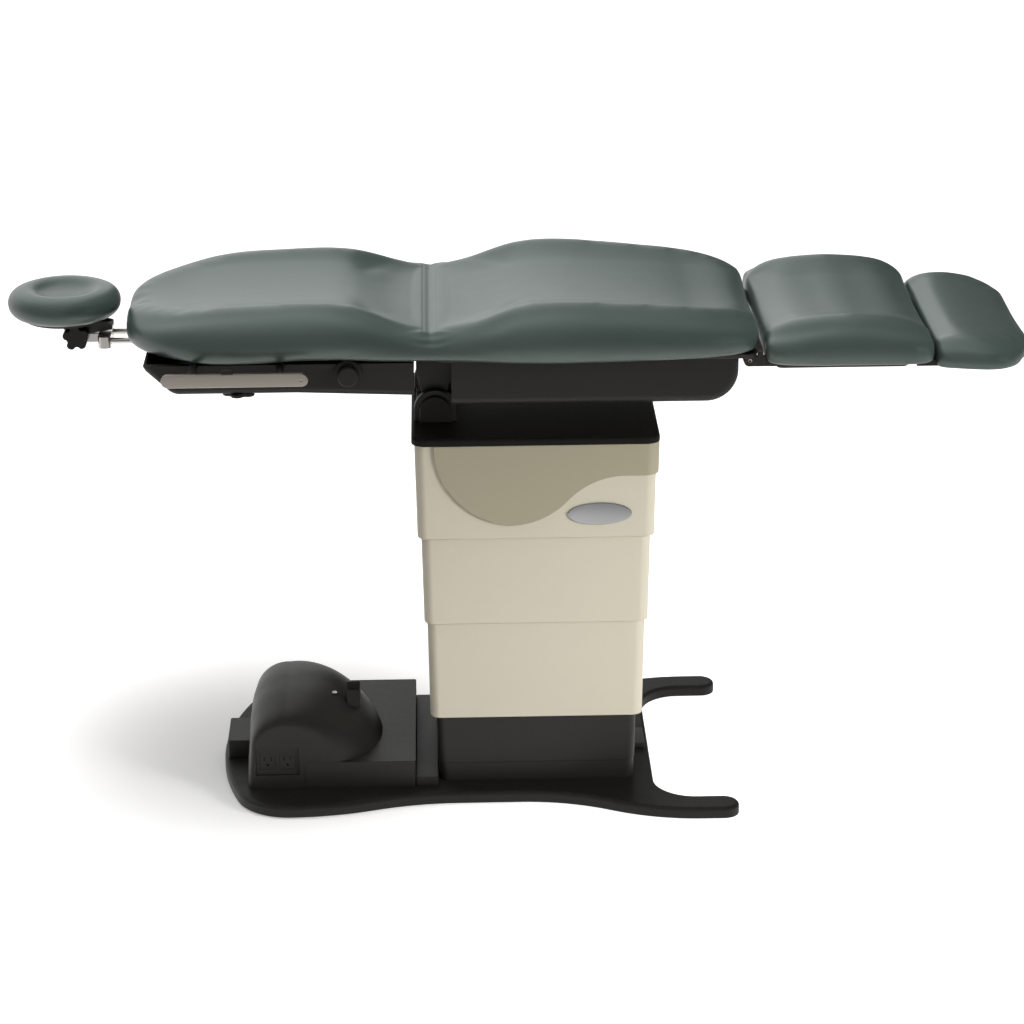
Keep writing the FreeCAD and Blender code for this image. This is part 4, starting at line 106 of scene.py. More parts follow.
def noise_at(tree, place, scale, detail=2.0, roughness=0.5):
    """Noise texture; the scale is a number or a (node, outlet) pair."""
    node = tree.nodes.new("ShaderNodeTexNoise")
    node.inputs["Detail"].default_value = detail
    node.inputs["Roughness"].default_value = roughness
    wire(tree, place[0], place[1], node, "Vector")
    if isinstance(scale, tuple):
        wire(tree, scale[0], scale[1], node, "Scale")
    else:
        node.inputs["Scale"].default_value = scale
    return node


def tone_output(tree, source, amount, broad, target):
    """Multiply a colour by one plus an amount of broad noise, and send it to an output."""
    shift = math_node(tree, "SUBTRACT", (broad, "Fac"), 0.5)
    weigh = math_node(tree, "MULTIPLY", (shift, 0), amount)
    gain = math_node(tree, "ADD", (weigh, 0), 1.0)
    scale = tree.nodes.new("ShaderNodeVectorMath")
    scale.operation = "SCALE"
    wire(tree, source[0], source[1], scale, 0)
    wire(tree, gain, 0, scale, "Scale")
    wire(tree, scale, 0, target, "Colour")


def spread_output(tree, source, amount, texture, target):
    """Add an amount of noise to a roughness and send it to an output."""
    shift = math_node(tree, "SUBTRACT", (texture, "Fac"), 0.5)
    weigh = math_node(tree, "MULTIPLY", (shift, 0), amount)
    total = math_node(tree, "ADD", (weigh, 0), source)
    wire(tree, total, 0, target, "Roughness")


def moulded_grain():
    """Fine spark-eroded grain of a moulded or painted surface, with slow changes of tone."""
    group = bpy.data.node_groups.new("moulded_grain", "ShaderNodeTree")
    group_sockets(group,
                  [("Colour", "NodeSocketColor", (0.5, 0.5, 0.5, 1.0)), ("Tone", "NodeSocketFloat", 0.06),
                   ("Roughness", "NodeSocketFloat", 0.5), ("Spread", "NodeSocketFloat", 0.1),
                   ("Grain Scale", "NodeSocketFloat", 900.0)],
                  [("Colour", "NodeSocketColor"), ("Roughness", "NodeSocketFloat"), ("Height", "NodeSocketFloat")])
    start = group.nodes.new("NodeGroupInput")
    end = group.nodes.new("NodeGroupOutput")
    place = (group.nodes.new("ShaderNodeTexCoord"), "Object")
    broad = noise_at(group, place, 5.0, detail=4.0, roughness=0.6)
    fine = noise_at(group, place, (start, "Grain Scale"), detail=3.0, roughness=0.6)
    tone_output(group, (start, "Colour"), (start, "Tone"), broad, end)
    patches = noise_at(group, place, 60.0, detail=5.0, roughness=0.7)
    spread_output(group, (start, "Roughness"), (start, "Spread"), patches, end)
    wire(group, fine, "Fac", end, "Height")
    return group


def leather_grain():
    """Pebbled upholstery grain: rounded cells with pores between them, and slow changes of tone."""
    group = bpy.data.node_groups.new("leather_grain", "ShaderNodeTree")
    group_sockets(group,
                  [("Colour", "NodeSocketColor", (0.5, 0.5, 0.5, 1.0)), ("Tone", "NodeSocketFloat", 0.08),
                   ("Roughness", "NodeSocketFloat", 0.45), ("Spread", "NodeSocketFloat", 0.12),
                   ("Cell Scale", "NodeSocketFloat", 520.0)],
                  [("Colour", "NodeSocketColor"), ("Roughness", "NodeSocketFloat"), ("Height", "NodeSocketFloat")])
    start = group.nodes.new("NodeGroupInput")
    end = group.nodes.new("NodeGroupOutput")
    place = (group.nodes.new("ShaderNodeTexCoord"), "Object")
    broad = noise_at(group, place, 4.0, detail=5.0, roughness=0.55)
    cells = group.nodes.new("ShaderNodeTexVoronoi")
    cells.feature = "SMOOTH_F1"
    cells.inputs["Smoothness"].default_value = 0.35
    wire(group, place[0], place[1], cells, "Vector")
    wire(group, start, "Cell Scale", cells, "Scale")
    stretch = noise_at(group, place, 160.0, detail=4.0, roughness=0.6)
    dome = math_node(group, "SUBTRACT", 1.0, (cells, "Distance"))
    height = math_node(group, "MULTIPLY_ADD", (stretch, "Fac"), 0.5)
    wire(group, dome, 0, height, 2)
    tone_output(group, (start, "Colour"), (start, "Tone"), broad, end)
    patches = noise_at(group, place, 25.0, detail=5.0, roughness=0.65)
    spread_output(group, (start, "Roughness"), (start, "Spread"), patches, end)
    wire(group, height, 0, end, "Height")
    return group


def brushed_lines():
    """Long fine scratches along X, as on brushed bar."""
    group = bpy.data.node_groups.new("brushed_lines", "ShaderNodeTree")
    group_sockets(group,
                  [("Colour", "NodeSocketColor", (0.6, 0.6, 0.6, 1.0)), ("Tone", "NodeSocketFloat", 0.2),
                   ("Roughness", "NodeSocketFloat", 0.35), ("Spread", "NodeSocketFloat", 0.2),
                   ("Line Scale", "NodeSocketFloat", 1.0)],
                  [("Colour", "NodeSocketColor"), ("Roughness", "NodeSocketFloat"), ("Height", "NodeSocketFloat")])
    start = group.nodes.new("NodeGroupInput")
    end = group.nodes.new("NodeGroupOutput")
    place = group.nodes.new("ShaderNodeTexCoord")
    mapping = group.nodes.new("ShaderNodeMapping")
    mapping.inputs["Scale"].default_value = (12.0, 900.0, 900.0)
    wire(group, place, "Object", mapping, "Vector")
    lines = noise_at(group, (mapping, "Vector"), (start, "Line Scale"), detail=3.0, roughness=0.6)
    tone_output(group, (start, "Colour"), (start, "Tone"), lines, end)
    spread_output(group, (start, "Roughness"), (start, "Spread"), lines, end)
    wire(group, lines, "Fac", end, "Height")
    return group


SEAM_RUN = 13.0 * MM
SEAM_WIDTH = 4.0 * MM
SEAM_DEPTH = 0.35 * MM
SEAM_SHADE = 0.08
FOLD_REACH = 58.0 * MM
FOLD_SIDE = (212.0 * MM, 240.0 * MM)
FOLD_RISE = 26.0 * MM
FOLD_PITCH = 13.0 * MM
FOLD_CURVE = 4.8
FOLD_DEPTH = 0.9 * MM


def crease_work():
    """Two sewn lines along the crease, and short folds in the cover below its ends."""
    group = bpy.data.node_groups.new("crease_work", "ShaderNodeTree")
    group_sockets(group,
                  [("Place", "NodeSocketVector", (0.0, 0.0, 0.0)),
                   ("Colour", "NodeSocketColor", (0.5, 0.5, 0.5, 1.0))],
                  [("Colour", "NodeSocketColor"), ("Height", "NodeSocketFloat")])
    start = group.nodes.new("NodeGroupInput")
    end = group.nodes.new("NodeGroupOutput")
    split = group.nodes.new("ShaderNodeSeparateXYZ")
    wire(group, start, "Place", split, 0)
    run = math_node(group, "ABSOLUTE", (split, "X"), 0.0)
    off_line = math_node(group, "SUBTRACT", (run, 0), SEAM_RUN)
    off_line = math_node(group, "ABSOLUTE", (off_line, 0), 0.0)
    line = map_range(group, (off_line, 0), (0.0, SEAM_WIDTH), (1.0, 0.0))
    side = math_node(group, "ABSOLUTE", (split, "Y"), 0.0)
    on_top = map_range(group, (side, 0), FOLD_SIDE, (1.0, 0.0))
    seam = math_node(group, "MULTIPLY", (line, 0), (on_top, 0))
    square = math_node(group, "POWER", (run, 0), 2.0)
    bow = math_node(group, "MULTIPLY", (square, 0), FOLD_CURVE)
    level = math_node(group, "SUBTRACT", (split, "Z"), (bow, 0))
    phase = math_node(group, "MULTIPLY", (level, 0), 2.0 * math.pi / FOLD_PITCH)
    wave = math_node(group, "SINE", (phase, 0), 0.0)
    away = math_node(group, "ABSOLUTE", (split, "Z"), 0.0)
    masks = [map_range(group, (run, 0), (0.0, FOLD_REACH), (1.0, 0.0)),
             map_range(group, (side, 0), FOLD_SIDE, (0.0, 1.0)),
             map_range(group, (away, 0), (0.0, FOLD_RISE), (1.0, 0.0))]
    for mask in masks:
        wave = math_node(group, "MULTIPLY", (wave, 0), (mask, 0))
    folds = math_node(group, "MULTIPLY", (wave, 0), FOLD_DEPTH)
    groove = math_node(group, "MULTIPLY", (seam, 0), -SEAM_DEPTH)
    height = math_node(group, "ADD", (folds, 0), (groove, 0))
    dim = math_node(group, "MULTIPLY", (seam, 0), -SEAM_SHADE)
    gain = math_node(group, "ADD", (dim, 0), 1.0)
    scale = group.nodes.new("ShaderNodeVectorMath")
    scale.operation = "SCALE"
    wire(group, start, "Colour", scale, 0)
    wire(group, gain, 0, scale, "Scale")
    wire(group, scale, 0, end, "Colour")
    wire(group, height, 0, end, "Height")
    return group


GROUPS = {build.__name__: build() for build in (moulded_grain, leather_grain, brushed_lines, crease_work)}


def finish_material(name, group_name, color, tone, roughness, spread, scale, bump, depth, **shader_values):
    """Material whose colour, roughness and bump come from one of the shared groups."""
    material = bpy.data.materials.new(name)
    material.use_nodes = True
    tree = material.node_tree
    shader = tree.nodes["Principled BSDF"]
    group = tree.nodes.new("ShaderNodeGroup")
    group.node_tree = GROUPS[group_name]
    group.inputs[0].default_value = (*color, 1.0)
    for place, amount in enumerate((tone, roughness, spread, scale), start=1):
        group.inputs[place].default_value = amount
    wire(tree, group, "Colour", shader, "Base Color")
    wire(tree, group, "Roughness", shader, "Roughness")
    relief = tree.nodes.new("ShaderNodeBump")
    relief.inputs["Strength"].default_value = bump
    relief.inputs["Distance"].default_value = depth
    wire(tree, group, "Height", relief, "Height")
    wire(tree, relief, "Normal", shader, "Normal")
    for socket, amount in shader_values.items():
        shader.inputs[socket.replace("_", " ")].default_value = amount
    return material


MOULDED = {"group_name": "moulded_grain", "scale": 900.0, "bump": 0.05, "depth": 0.4 * MM}
BRUSHED = {"group_name": "brushed_lines", "scale": 1.0, "Metallic": 1.0}
FINISH_VALUES = {
    "vinyl": {"group_name": "leather_grain", "color": (0.055, 0.0775, 0.0695), "tone": 0.1, "roughness": 0.38,
              "spread": 0.08, "scale": 520.0, "bump": 0.12, "depth": 0.6 * MM, "Specular_IOR_Level": 0.85,
              "Specular_Tint": (0.86, 1.0, 0.92, 1.0), "Coat_Weight": 0.3, "Coat_Roughness": 0.34},
    "cream_plastic": MOULDED | {"color": (0.76, 0.705, 0.565), "tone": 0.03, "roughness": 0.48, "spread": 0.08},
    "accent_plastic": MOULDED | {"color": (0.46, 0.42, 0.3), "tone": 0.03, "roughness": 0.5, "spread": 0.08},
    "black_plastic": MOULDED | {"color": (0.02, 0.0185, 0.0165), "tone": 0.12, "roughness": 0.47, "spread": 0.12,
                                "scale": 700.0, "bump": 0.12, "depth": 0.6 * MM, "Specular_IOR_Level": 0.3},
    # The cap's plastic is the black plastic made darker: painted shade for its place under the seat.
    "cap_plastic_painted_shade": MOULDED | {"color": (0.014, 0.0125, 0.0105), "tone": 0.12, "roughness": 0.6, "spread": 0.1,
                              "scale": 700.0, "bump": 0.12, "depth": 0.6 * MM, "Specular_IOR_Level": 0.12},
    "base_paint": MOULDED | {"color": (0.0135, 0.013, 0.0115), "tone": 0.2, "roughness": 0.55, "spread": 0.15,
                             "scale": 320.0, "bump": 0.35, "depth": 0.8 * MM, "Specular_IOR_Level": 0.3},
    "frame_paint": MOULDED | {"color": (0.028, 0.026, 0.023), "tone": 0.12, "roughness": 0.5, "spread": 0.12,
                              "scale": 600.0, "bump": 0.1, "depth": 0.5 * MM},
    "steel": BRUSHED | {"color": (0.44, 0.4, 0.355), "tone": 0.25, "roughness": 0.36, "spread": 0.18, "bump": 0.1,
                        "depth": 0.3 * MM},
    "rod_chrome": BRUSHED | {"color": (0.66, 0.63, 0.6), "tone": 0.08, "roughness": 0.18, "spread": 0.08,
                             "bump": 0.03, "depth": 0.2 * MM},
    "badge_metal": MOULDED | {"color": (0.4, 0.4, 0.405), "tone": 0.05, "roughness": 0.3, "spread": 0.08,
                              "scale": 1400.0, "bump": 0.04, "depth": 0.3 * MM, "Metallic": 0.9},
    "glide_rubber": MOULDED | {"color": (0.02, 0.02, 0.02), "tone": 0.2, "roughness": 0.8, "spread": 0.1,
                               "scale": 500.0, "bump": 0.2, "depth": 0.6 * MM},
    "lamp_lens": MOULDED | {"color": (0.42, 0.47, 0.42), "tone": 0.1, "roughness": 0.15, "spread": 0.05,
                            "bump": 0.02, "depth": 0.2 * MM, "Coat_Weight": 0.6},
}
FINISHES = {name: finish_material(name, **values) for name, values in FINISH_VALUES.items()}


def crease_vinyl():
    """The vinyl with sewn lines and folds, on places kept from the crease in the cover's rest shape."""
    material = FINISHES["vinyl"].copy()
    material.name = "crease_vinyl"
    tree = material.node_tree
    shader = tree.nodes["Principled BSDF"]
    grain = shader.inputs["Base Color"].links[0].from_node
    relief = shader.inputs["Normal"].links[0].from_node
    place = tree.nodes.new("ShaderNodeAttribute")
    place.attribute_name = "from_crease"
    work = tree.nodes.new("ShaderNodeGroup")
    work.node_tree = GROUPS["crease_work"]
    wire(tree, place, "Vector", work, "Place")
    wire(tree, grain, "Colour", work, "Colour")
    wire(tree, work, "Colour", shader, "Base Color")
    sewn = tree.nodes.new("ShaderNodeBump")
    sewn.inputs["Distance"].default_value = 1.0
    wire(tree, work, "Height", sewn, "Height")
    wire(tree, relief, "Normal", sewn, "Normal")
    wire(tree, sewn, "Normal", shader, "Normal")
    return material


FINISHES["crease_vinyl"] = crease_vinyl()


def dress(obj, slot, finish=None):
    """Give an object the finish of a material slot, or a finish of its own in that slot."""
    obj.data.materials.clear()
    obj.data.materials.append(FINISHES[finish or slot])


def smooth_faces(mesh, angle):
    """Shade a mesh smooth, with edges sharper than the angle kept crisp."""
    mesh.polygons.foreach_set("use_smooth", np.ones(len(mesh.polygons), bool))
    mesh.set_sharp_from_angle(angle=angle)


def new_object(name, mesh):
    """Object at the origin with its place in its mesh."""
    obj = bpy.data.objects.new(name, mesh)
    bpy.context.scene.collection.objects.link(obj)
    return obj


JOIN_REACH = 0.01 * MM


def merged(node):
    """bmesh of a CAD node with its loose triangles joined."""
    shape = bmesh.new()
    shape.from_mesh(NODES[node].data)
    bmesh.ops.remove_doubles(shape, verts=shape.verts, dist=JOIN_REACH)
    return shape


def to_mesh(shape, name):
    """Mesh from a bmesh, which is freed."""
    mesh = bpy.data.meshes.new(name)
    shape.to_mesh(mesh)
    shape.free()
    return mesh


# Rigid nodes: copies with their sharp edges rounded, each standing for its node

EDGE_ROUND = {
    "base_skirt": 1.2, "base_cover": 1.2, "bridge_cover": 1.5, "front_bracket": 0.8, "pump_box": 2.5,
    "pump_cover": 1.2, "outlet_panel": 0.6, "outlet_faces": 0.5, "rear_block": 1.5,
    "control_hook": 1.2, "lower_cover": 1.0, "middle_cover": 1.0, "top_cover": 1.0, "accent_panel": 1.2,
    "top_cap": 1.0, "tilt_stanchions": 1.2, "stanchion_covers": 0.8, "seat_frame": 1.0, "seat_pan": 1.2,
    "back_frame": 1.0, "back_housing": 1.5, "side_rails": 0.8, "lock_knob_near": 1.0, "lock_knob_far": 1.0,
    "rod_lock_knob": 1.5, "headrest_rods": 0.8, "headrest_bracket": 1.0, "headrest_knob": 2.0, "foot_frame": 1.2,
    "extension_frame": 1.2, "badge_plate": 1.4,
}
# The top cap takes the darker cap plastic, painted shade for its place under the seat.
OWN_FINISH = {"top_cap": "cap_plastic_painted_shade"}
CRISP_ANGLE = math.radians(28)
FLAT_ANGLE = math.radians(0.5)


def rounded(node, width):
    """Copy of a CAD node with its sharp edges rounded."""
    shape = merged(node)
    bmesh.ops.dissolve_limit(shape, angle_limit=FLAT_ANGLE, verts=shape.verts, edges=shape.edges)
    obj = new_object(node + "_rounded", to_mesh(shape, node + "_rounded"))
    smooth_faces(obj.data, CRISP_ANGLE)
    bevel = obj.modifiers.new("edge_round", "BEVEL")
    bevel.limit_method = "ANGLE"
    bevel.angle_limit = CRISP_ANGLE
    bevel.width = width * MM
    bevel.segments = 2
    bevel.profile = 0.5
    bevel.harden_normals = False
    dress(obj, SLOT_OF[node], OWN_FINISH.get(node))
    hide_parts(node)
    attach(obj, BODY_OF[node])
    return obj


for node_name, node_object in NODES.items():
    if node_name in EDGE_ROUND:
        rounded(node_name, EDGE_ROUND[node_name])
    elif SLOT_OF[node_name] != "vinyl":
        node_object.data.materials.clear()
        node_object.data.materials.append(FINISHES[SLOT_OF[node_name]])


# Upholstery

COARSE_VOXEL = 6.0 * MM
MIDDLE_VOXEL = 5.0 * MM
FINE_VOXEL = 4.0 * MM
SMOOTH_SHARE = 0.5
SMOOTH_PASSES = 8
LONG_PASSES = 14
SETTLE_PASSES = 6
CLOTH_FRAMES = 20
SHRINK = 2.0 * MM
PRESSURE = 1.5
HELD_RISE = 6.0 * MM
SWELL_CAP = 4.0 * MM
HEAD_SWELL_CAP = 3.0 * MM
RIM_REACH = 16.0 * MM
RIM_RISE = 40.0 * MM
CREASE_REACH = 26.0 * MM
CREASE_LIFT = 60.0 * MM
CREASE_DEPTH = 9.0 * MM
CREASE_SHARPNESS = 1.2
CREASE_SHOULDER = 5.0 * MM
VALLEY_RISE = 49.0 * MM
FILL_REACH = 26.0 * MM
FILL_MIDDLE_RISE = 24.0 * MM
FILL_WIDTH_SHARE = 0.12
FOLD_CENTRE_RISE = 38.0 * MM
DISH_FLAT = 0.45
DISH_SLOPE = 0.37
DISH_RUN = 130.0 * MM
DISH_DEPTH = 9.0 * MM
HEAD_DISH_SHARE = 0.5
FULL_START = 800.0 * MM
FULL_END = 930.0 * MM
FULL_GAIN = 0.17


def points_of(mesh):
    """Vertex places of a mesh as an array."""
    places = np.empty(3 * len(mesh.vertices))
    mesh.vertices.foreach_get("co", places)
    return places.reshape(-1, 3)


def normals_of(mesh):
    """Vertex normals of a mesh as an array."""
    ways = np.empty(3 * len(mesh.vertices))
    mesh.vertex_normals.foreach_get("vector", ways)
    return ways.reshape(-1, 3)


def set_points(mesh, places):
    """Write vertex places back to a mesh."""
    mesh.vertices.foreach_set("co", np.ascontiguousarray(places).ravel())
    mesh.update()


def settled(obj):
    """Apply an object's modifiers to its mesh."""
    graph = bpy.context.evaluated_depsgraph_get()
    mesh = bpy.data.meshes.new_from_object(obj.evaluated_get(graph))
    obj.modifiers.clear()
    old = obj.data
    obj.data = mesh
    bpy.data.meshes.remove(old)


def remeshed(obj, voxel):
    """Close and even out a mesh with square faces of one size."""
    remesh = obj.modifiers.new("even_faces", "REMESH")
    remesh.mode = "VOXEL"
    remesh.voxel_size = voxel
    settled(obj)


def eased(share):
    """Smooth step of an array from 0 to 1."""
    share = np.clip(share, 0.0, 1.0)
    return share * share * (3.0 - 2.0 * share)


def hang_rim(obj, floor, board_half, drops):
    """Let the cover's lower rim hang past its board's edge, or rise, by drops given along X."""
    places = points_of(obj.data)
    past = eased((np.abs(places[:, 1]) - board_half) / RIM_REACH)
    low = 1.0 - eased((places[:, 2] - floor) / RIM_RISE)
    runs, falls = zip(*drops)
    places[:, 2] -= past * low * np.interp(places[:, 0], runs, falls)
    set_points(obj.data, places)


def pressed_crease(obj, middle, floor):
    """Draw the cover down into the valley between seat and back, with a soft shoulder on each side."""
    places = points_of(obj.data)
    run = (places[:, 0] - middle) / CREASE_REACH
    lift = eased((places[:, 2] - floor) / CREASE_LIFT)
    lowered = places[:, 2] - CREASE_DEPTH * lift * np.exp(-np.abs(run) ** CREASE_SHARPNESS)
    places[:, 2] = np.maximum(lowered, np.minimum(places[:, 2], floor + VALLEY_RISE))
    places[:, 2] += CREASE_SHOULDER * lift * np.abs(run) * np.exp(1.0 - np.abs(run))
    set_points(obj.data, places)


def shallow_dish(obj, middle, share):
    """Raise the floor of a round dish by a share of its depth."""
    places = points_of(obj.data)
    radius = np.hypot(places[:, 0] - middle.x, places[:, 1] - middle.y)
    crown = places[:, 2].argmax()
    upward = normals_of(obj.data)[:, 2] > 0.0
    inside = (radius < radius[crown]) & upward
    places[:, 2] += (places[crown, 2] - places[:, 2]) * share * inside
    set_points(obj.data, places)


def fuller_corners(obj, start, end, gain):
    """Widen a cushion's rounded end, from none at one X place to the whole gain at another."""
    places = points_of(obj.data)
    places[:, 1] *= 1.0 + gain * eased((places[:, 0] - start) / (end - start))
    set_points(obj.data, places)


def filled_out(obj, nodes):
    """Bring a cover back to the length, width and height of its pads, which evening out has drawn in."""
    places = points_of(obj.data)
    corners = np.array([[list(corner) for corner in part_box(node)] for node in nodes])
    low, high = corners[:, 0].min(axis=0), corners[:, 1].max(axis=0)
    now_low, now_high = places.min(axis=0), places.max(axis=0)
    set_points(obj.data, low + (places - now_low) * (high - low) / (now_high - now_low))


def dished(obj, start, end):
    """Lower a cushion's top between its side bolsters, from one X place to another."""
    places = points_of(obj.data)
    side = np.abs(places[:, 1])
    across = 1.0 - eased((side / side.max() - DISH_FLAT) / DISH_SLOPE)
    along = eased((places[:, 0] - start) / DISH_RUN) * eased((end - places[:, 0]) / DISH_RUN)
    upward = eased(normals_of(obj.data)[:, 2])
    places[:, 2] -= DISH_DEPTH * across * along * upward
    set_points(obj.data, places)


def relaxed(obj, repeat):
    """Even out a mesh's small steps."""
    shape = bmesh.new()
    shape.from_mesh(obj.data)
    for _ in range(repeat):
        bmesh.ops.smooth_vert(shape, verts=shape.verts, factor=SMOOTH_SHARE, use_axis_x=True,
                              use_axis_y=True, use_axis_z=True)
    shape.to_mesh(obj.data)
    shape.free()


def inflated(obj, floor, cap):
    """Swell a cover on its foam by cloth simulation, held along its base, no further than the cap."""
    places = points_of(obj.data)
    start = places - normals_of(obj.data) * SHRINK
    start[:, 2] = np.maximum(start[:, 2], floor)
    set_points(obj.data, start)
    held = obj.vertex_groups.new(name="held")
    low = np.flatnonzero(start[:, 2] < floor + HELD_RISE)
    held.add([int(index) for index in low], 1.0, "REPLACE")
    cloth = obj.modifiers.new("cover", "CLOTH")
    cloth.settings.quality = 4
    cloth.settings.mass = 0.4
    cloth.settings.tension_stiffness = 25.0
    cloth.settings.compression_stiffness = 25.0
    cloth.settings.bending_stiffness = 20.0
    cloth.settings.use_pressure = True
    cloth.settings.uniform_pressure_force = PRESSURE
    cloth.settings.effector_weights.gravity = 0.0
    cloth.settings.vertex_group_mass = "held"
    cloth.collision_settings.use_collision = False
    scene = bpy.context.scene
    for number in range(1, CLOTH_FRAMES + 1):
        scene.frame_set(number)
    settled(obj)
    scene.frame_set(1)
    moved = points_of(obj.data) - start
    reach = np.linalg.norm(moved, axis=1)
    share = np.minimum(1.0, cap / np.maximum(reach, 1e-9))
    set_points(obj.data, start + moved * share[:, None])
    obj.vertex_groups.clear()


def cover_piece(name, nodes, voxel, passes=SMOOTH_PASSES, cap=SWELL_CAP, extra=None):
    """Upholstered piece that stands for CAD pads: joined, evened out, swollen, relaxed and filled out."""
    shape = bmesh.new()
    for node in nodes:
        shape.from_mesh(NODES[node].data)
    bmesh.ops.remove_doubles(shape, verts=shape.verts, dist=JOIN_REACH)
    if extra:
        extra(shape)
    obj = new_object(name, to_mesh(shape, name))
    remeshed(obj, voxel)
    relaxed(obj, passes)
    inflated(obj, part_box(nodes[0])[0].z, cap)
    relaxed(obj, SETTLE_PASSES)
    filled_out(obj, nodes)
    dress(obj, "vinyl")
    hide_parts(*nodes)
    return obj


def crease_fill(shape):
    """Filling of the notch between seat pad and back pad, so that one cover runs across the crease."""
    seat_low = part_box("seat_pad")[0]
    middle = (seat_low.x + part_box("back_pad")[1].x) / 2
    inside_z = seat_low.z + FILL_MIDDLE_RISE
    loops = []
    for way in (-1, 1):
        cutter = shape.copy()
        plane = Vector((middle + way * FILL_REACH, 0.0, 0.0))
        ring = bmesh.ops.bisect_plane(cutter, geom=cutter.verts[:] + cutter.edges[:] + cutter.faces[:],
                                      plane_co=plane, plane_no=(1.0, 0.0, 0.0))["geom_cut"]
        outline = [part.co.copy() for part in ring if isinstance(part, bmesh.types.BMVert)]
        outline.sort(key=lambda place: math.atan2(place.z - inside_z, place.y * FILL_WIDTH_SHARE))
        loops.append(outline)
        cutter.free()
    rings = []
    for outline in loops:
        ring_verts = [shape.verts.new(place) for place in outline]
        rings.append([shape.edges.new((a, b)) for a, b in zip(ring_verts, ring_verts[1:] + ring_verts[:1])])
    made = bmesh.ops.bridge_loops(shape, edges=rings[0] + rings[1])
    caps = [bmesh.ops.contextual_create(shape, geom=ring)["faces"] for ring in rings]
    bmesh.ops.recalc_face_normals(shape, faces=made["faces"] + caps[0] + caps[1])


SEAT_BOARD_HALF = 222.0 * MM
EXTENSION_BOARD_HALF = 210.0 * MM
BACK_RIM = [(-719.0, 0.0), (-640.0, 3.0), (-560.0, 3.0), (-470.0, 0.0), (-400.0, -5.0), (-330.0, -5.0),
            (-250.0, -1.0), (-190.0, 0.0)]
FOOT_RIM = [(450.0, 3.0), (560.0, 6.0), (770.0, 6.0)]
EXTENSION_RIM = [(770.0, 6.0), (960.0, 5.0)]


def in_metres(drops):
    """Places and drops of a rim in metres."""
    return [(run * MM, fall * MM) for run, fall in drops]


seat_low, seat_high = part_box("seat_pad")
back_low, back_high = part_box("back_pad")
crease_x = (seat_low.x + back_high.x) / 2
upholstery = cover_piece("seat_and_back_upholstery", ["seat_pad", "back_pad"], COARSE_VOXEL, passes=LONG_PASSES,
                         extra=crease_fill)
dished(upholstery, back_low.x, crease_x)
dished(upholstery, crease_x, seat_high.x)
pressed_crease(upholstery, crease_x, seat_low.z)
hang_rim(upholstery, seat_low.z, SEAT_BOARD_HALF, in_metres(BACK_RIM))
smooth_faces(upholstery.data, math.pi)
from_crease = points_of(upholstery.data) - np.array((crease_x, 0.0, seat_low.z + FOLD_CENTRE_RISE))
kept_places = upholstery.data.attributes.new("from_crease", "FLOAT_VECTOR", "POINT")
kept_places.data.foreach_set("vector", from_crease.ravel())
dress(upholstery, "vinyl", "crease_vinyl")
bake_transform(upholstery)

foot_low, foot_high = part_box("foot_pad")
foot_upholstery = cover_piece("foot_upholstery", ["foot_pad"], MIDDLE_VOXEL)
dished(foot_upholstery, foot_low.x, foot_high.x)
hang_rim(foot_upholstery, foot_low.z, SEAT_BOARD_HALF, in_metres(FOOT_RIM))
smooth_faces(foot_upholstery.data, math.pi)
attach(foot_upholstery, "foot")

extension_upholstery = cover_piece("extension_upholstery", ["extension_pad"], MIDDLE_VOXEL)
fuller_corners(extension_upholstery, FULL_START, FULL_END, FULL_GAIN)
hang_rim(extension_upholstery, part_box("extension_pad")[0].z, EXTENSION_BOARD_HALF, in_metres(EXTENSION_RIM))
smooth_faces(extension_upholstery.data, math.pi)
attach(extension_upholstery, "extension")

headrest_upholstery = cover_piece("headrest_upholstery", ["headrest_pad"], FINE_VOXEL, cap=HEAD_SWELL_CAP)
head_low, head_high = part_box("headrest_pad")
shallow_dish(headrest_upholstery, (head_low + head_high) / 2, HEAD_DISH_SHARE)
smooth_faces(headrest_upholstery.data, math.pi)
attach(headrest_upholstery, "headrest")


# Small trim

SCREW_TAPER = 0.86
SCREW_HEIGHT = 0.4
SOCKET_INSET = 0.5
SOCKET_DEPTH = 0.25


def screw_head(place, outward, radius):
    """bmesh of a low round screw head with a hex socket, standing on a place."""
    shape = bmesh.new()
    bmesh.ops.create_cone(shape, cap_ends=True, segments=24, radius1=radius,
                          radius2=SCREW_TAPER * radius, depth=SCREW_HEIGHT * radius)
    shape.faces.ensure_lookup_table()
    crown = max(shape.faces, key=lambda face: face.calc_center_median().z)
    bmesh.ops.inset_individual(shape, faces=[crown], thickness=SOCKET_INSET * radius)
    bmesh.ops.translate(shape, verts=crown.verts[:], vec=(0.0, 0.0, -SOCKET_DEPTH * radius))
    turn = Vector(outward).to_track_quat("Z", "Y").to_matrix().to_4x4()
    bmesh.ops.transform(shape, matrix=Matrix.Translation(place) @ turn, verts=shape.verts)
    return shape


def block(low, high, corner):
    """bmesh of a block between two corners with rounded edges."""
    low, high = Vector(low), Vector(high)
    shape = bmesh.new()
    bmesh.ops.create_cube(shape, size=1.0)
    size = high - low
    bmesh.ops.transform(shape, matrix=Matrix.Translation((low + high) / 2) @ Matrix.Diagonal((*size, 1.0)),
                        verts=shape.verts)
    bmesh.ops.bevel(shape, geom=shape.edges[:], offset=corner, affect="EDGES", segments=2, profile=0.5, material=-1)
    return shape


def trim_piece(name, shape, slot, body):
    """Small fitting that rides on a body."""
    obj = new_object(name, to_mesh(shape, name))
    smooth_faces(obj.data, CRISP_ANGLE)
    dress(obj, slot)
    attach(obj, body)
    return obj


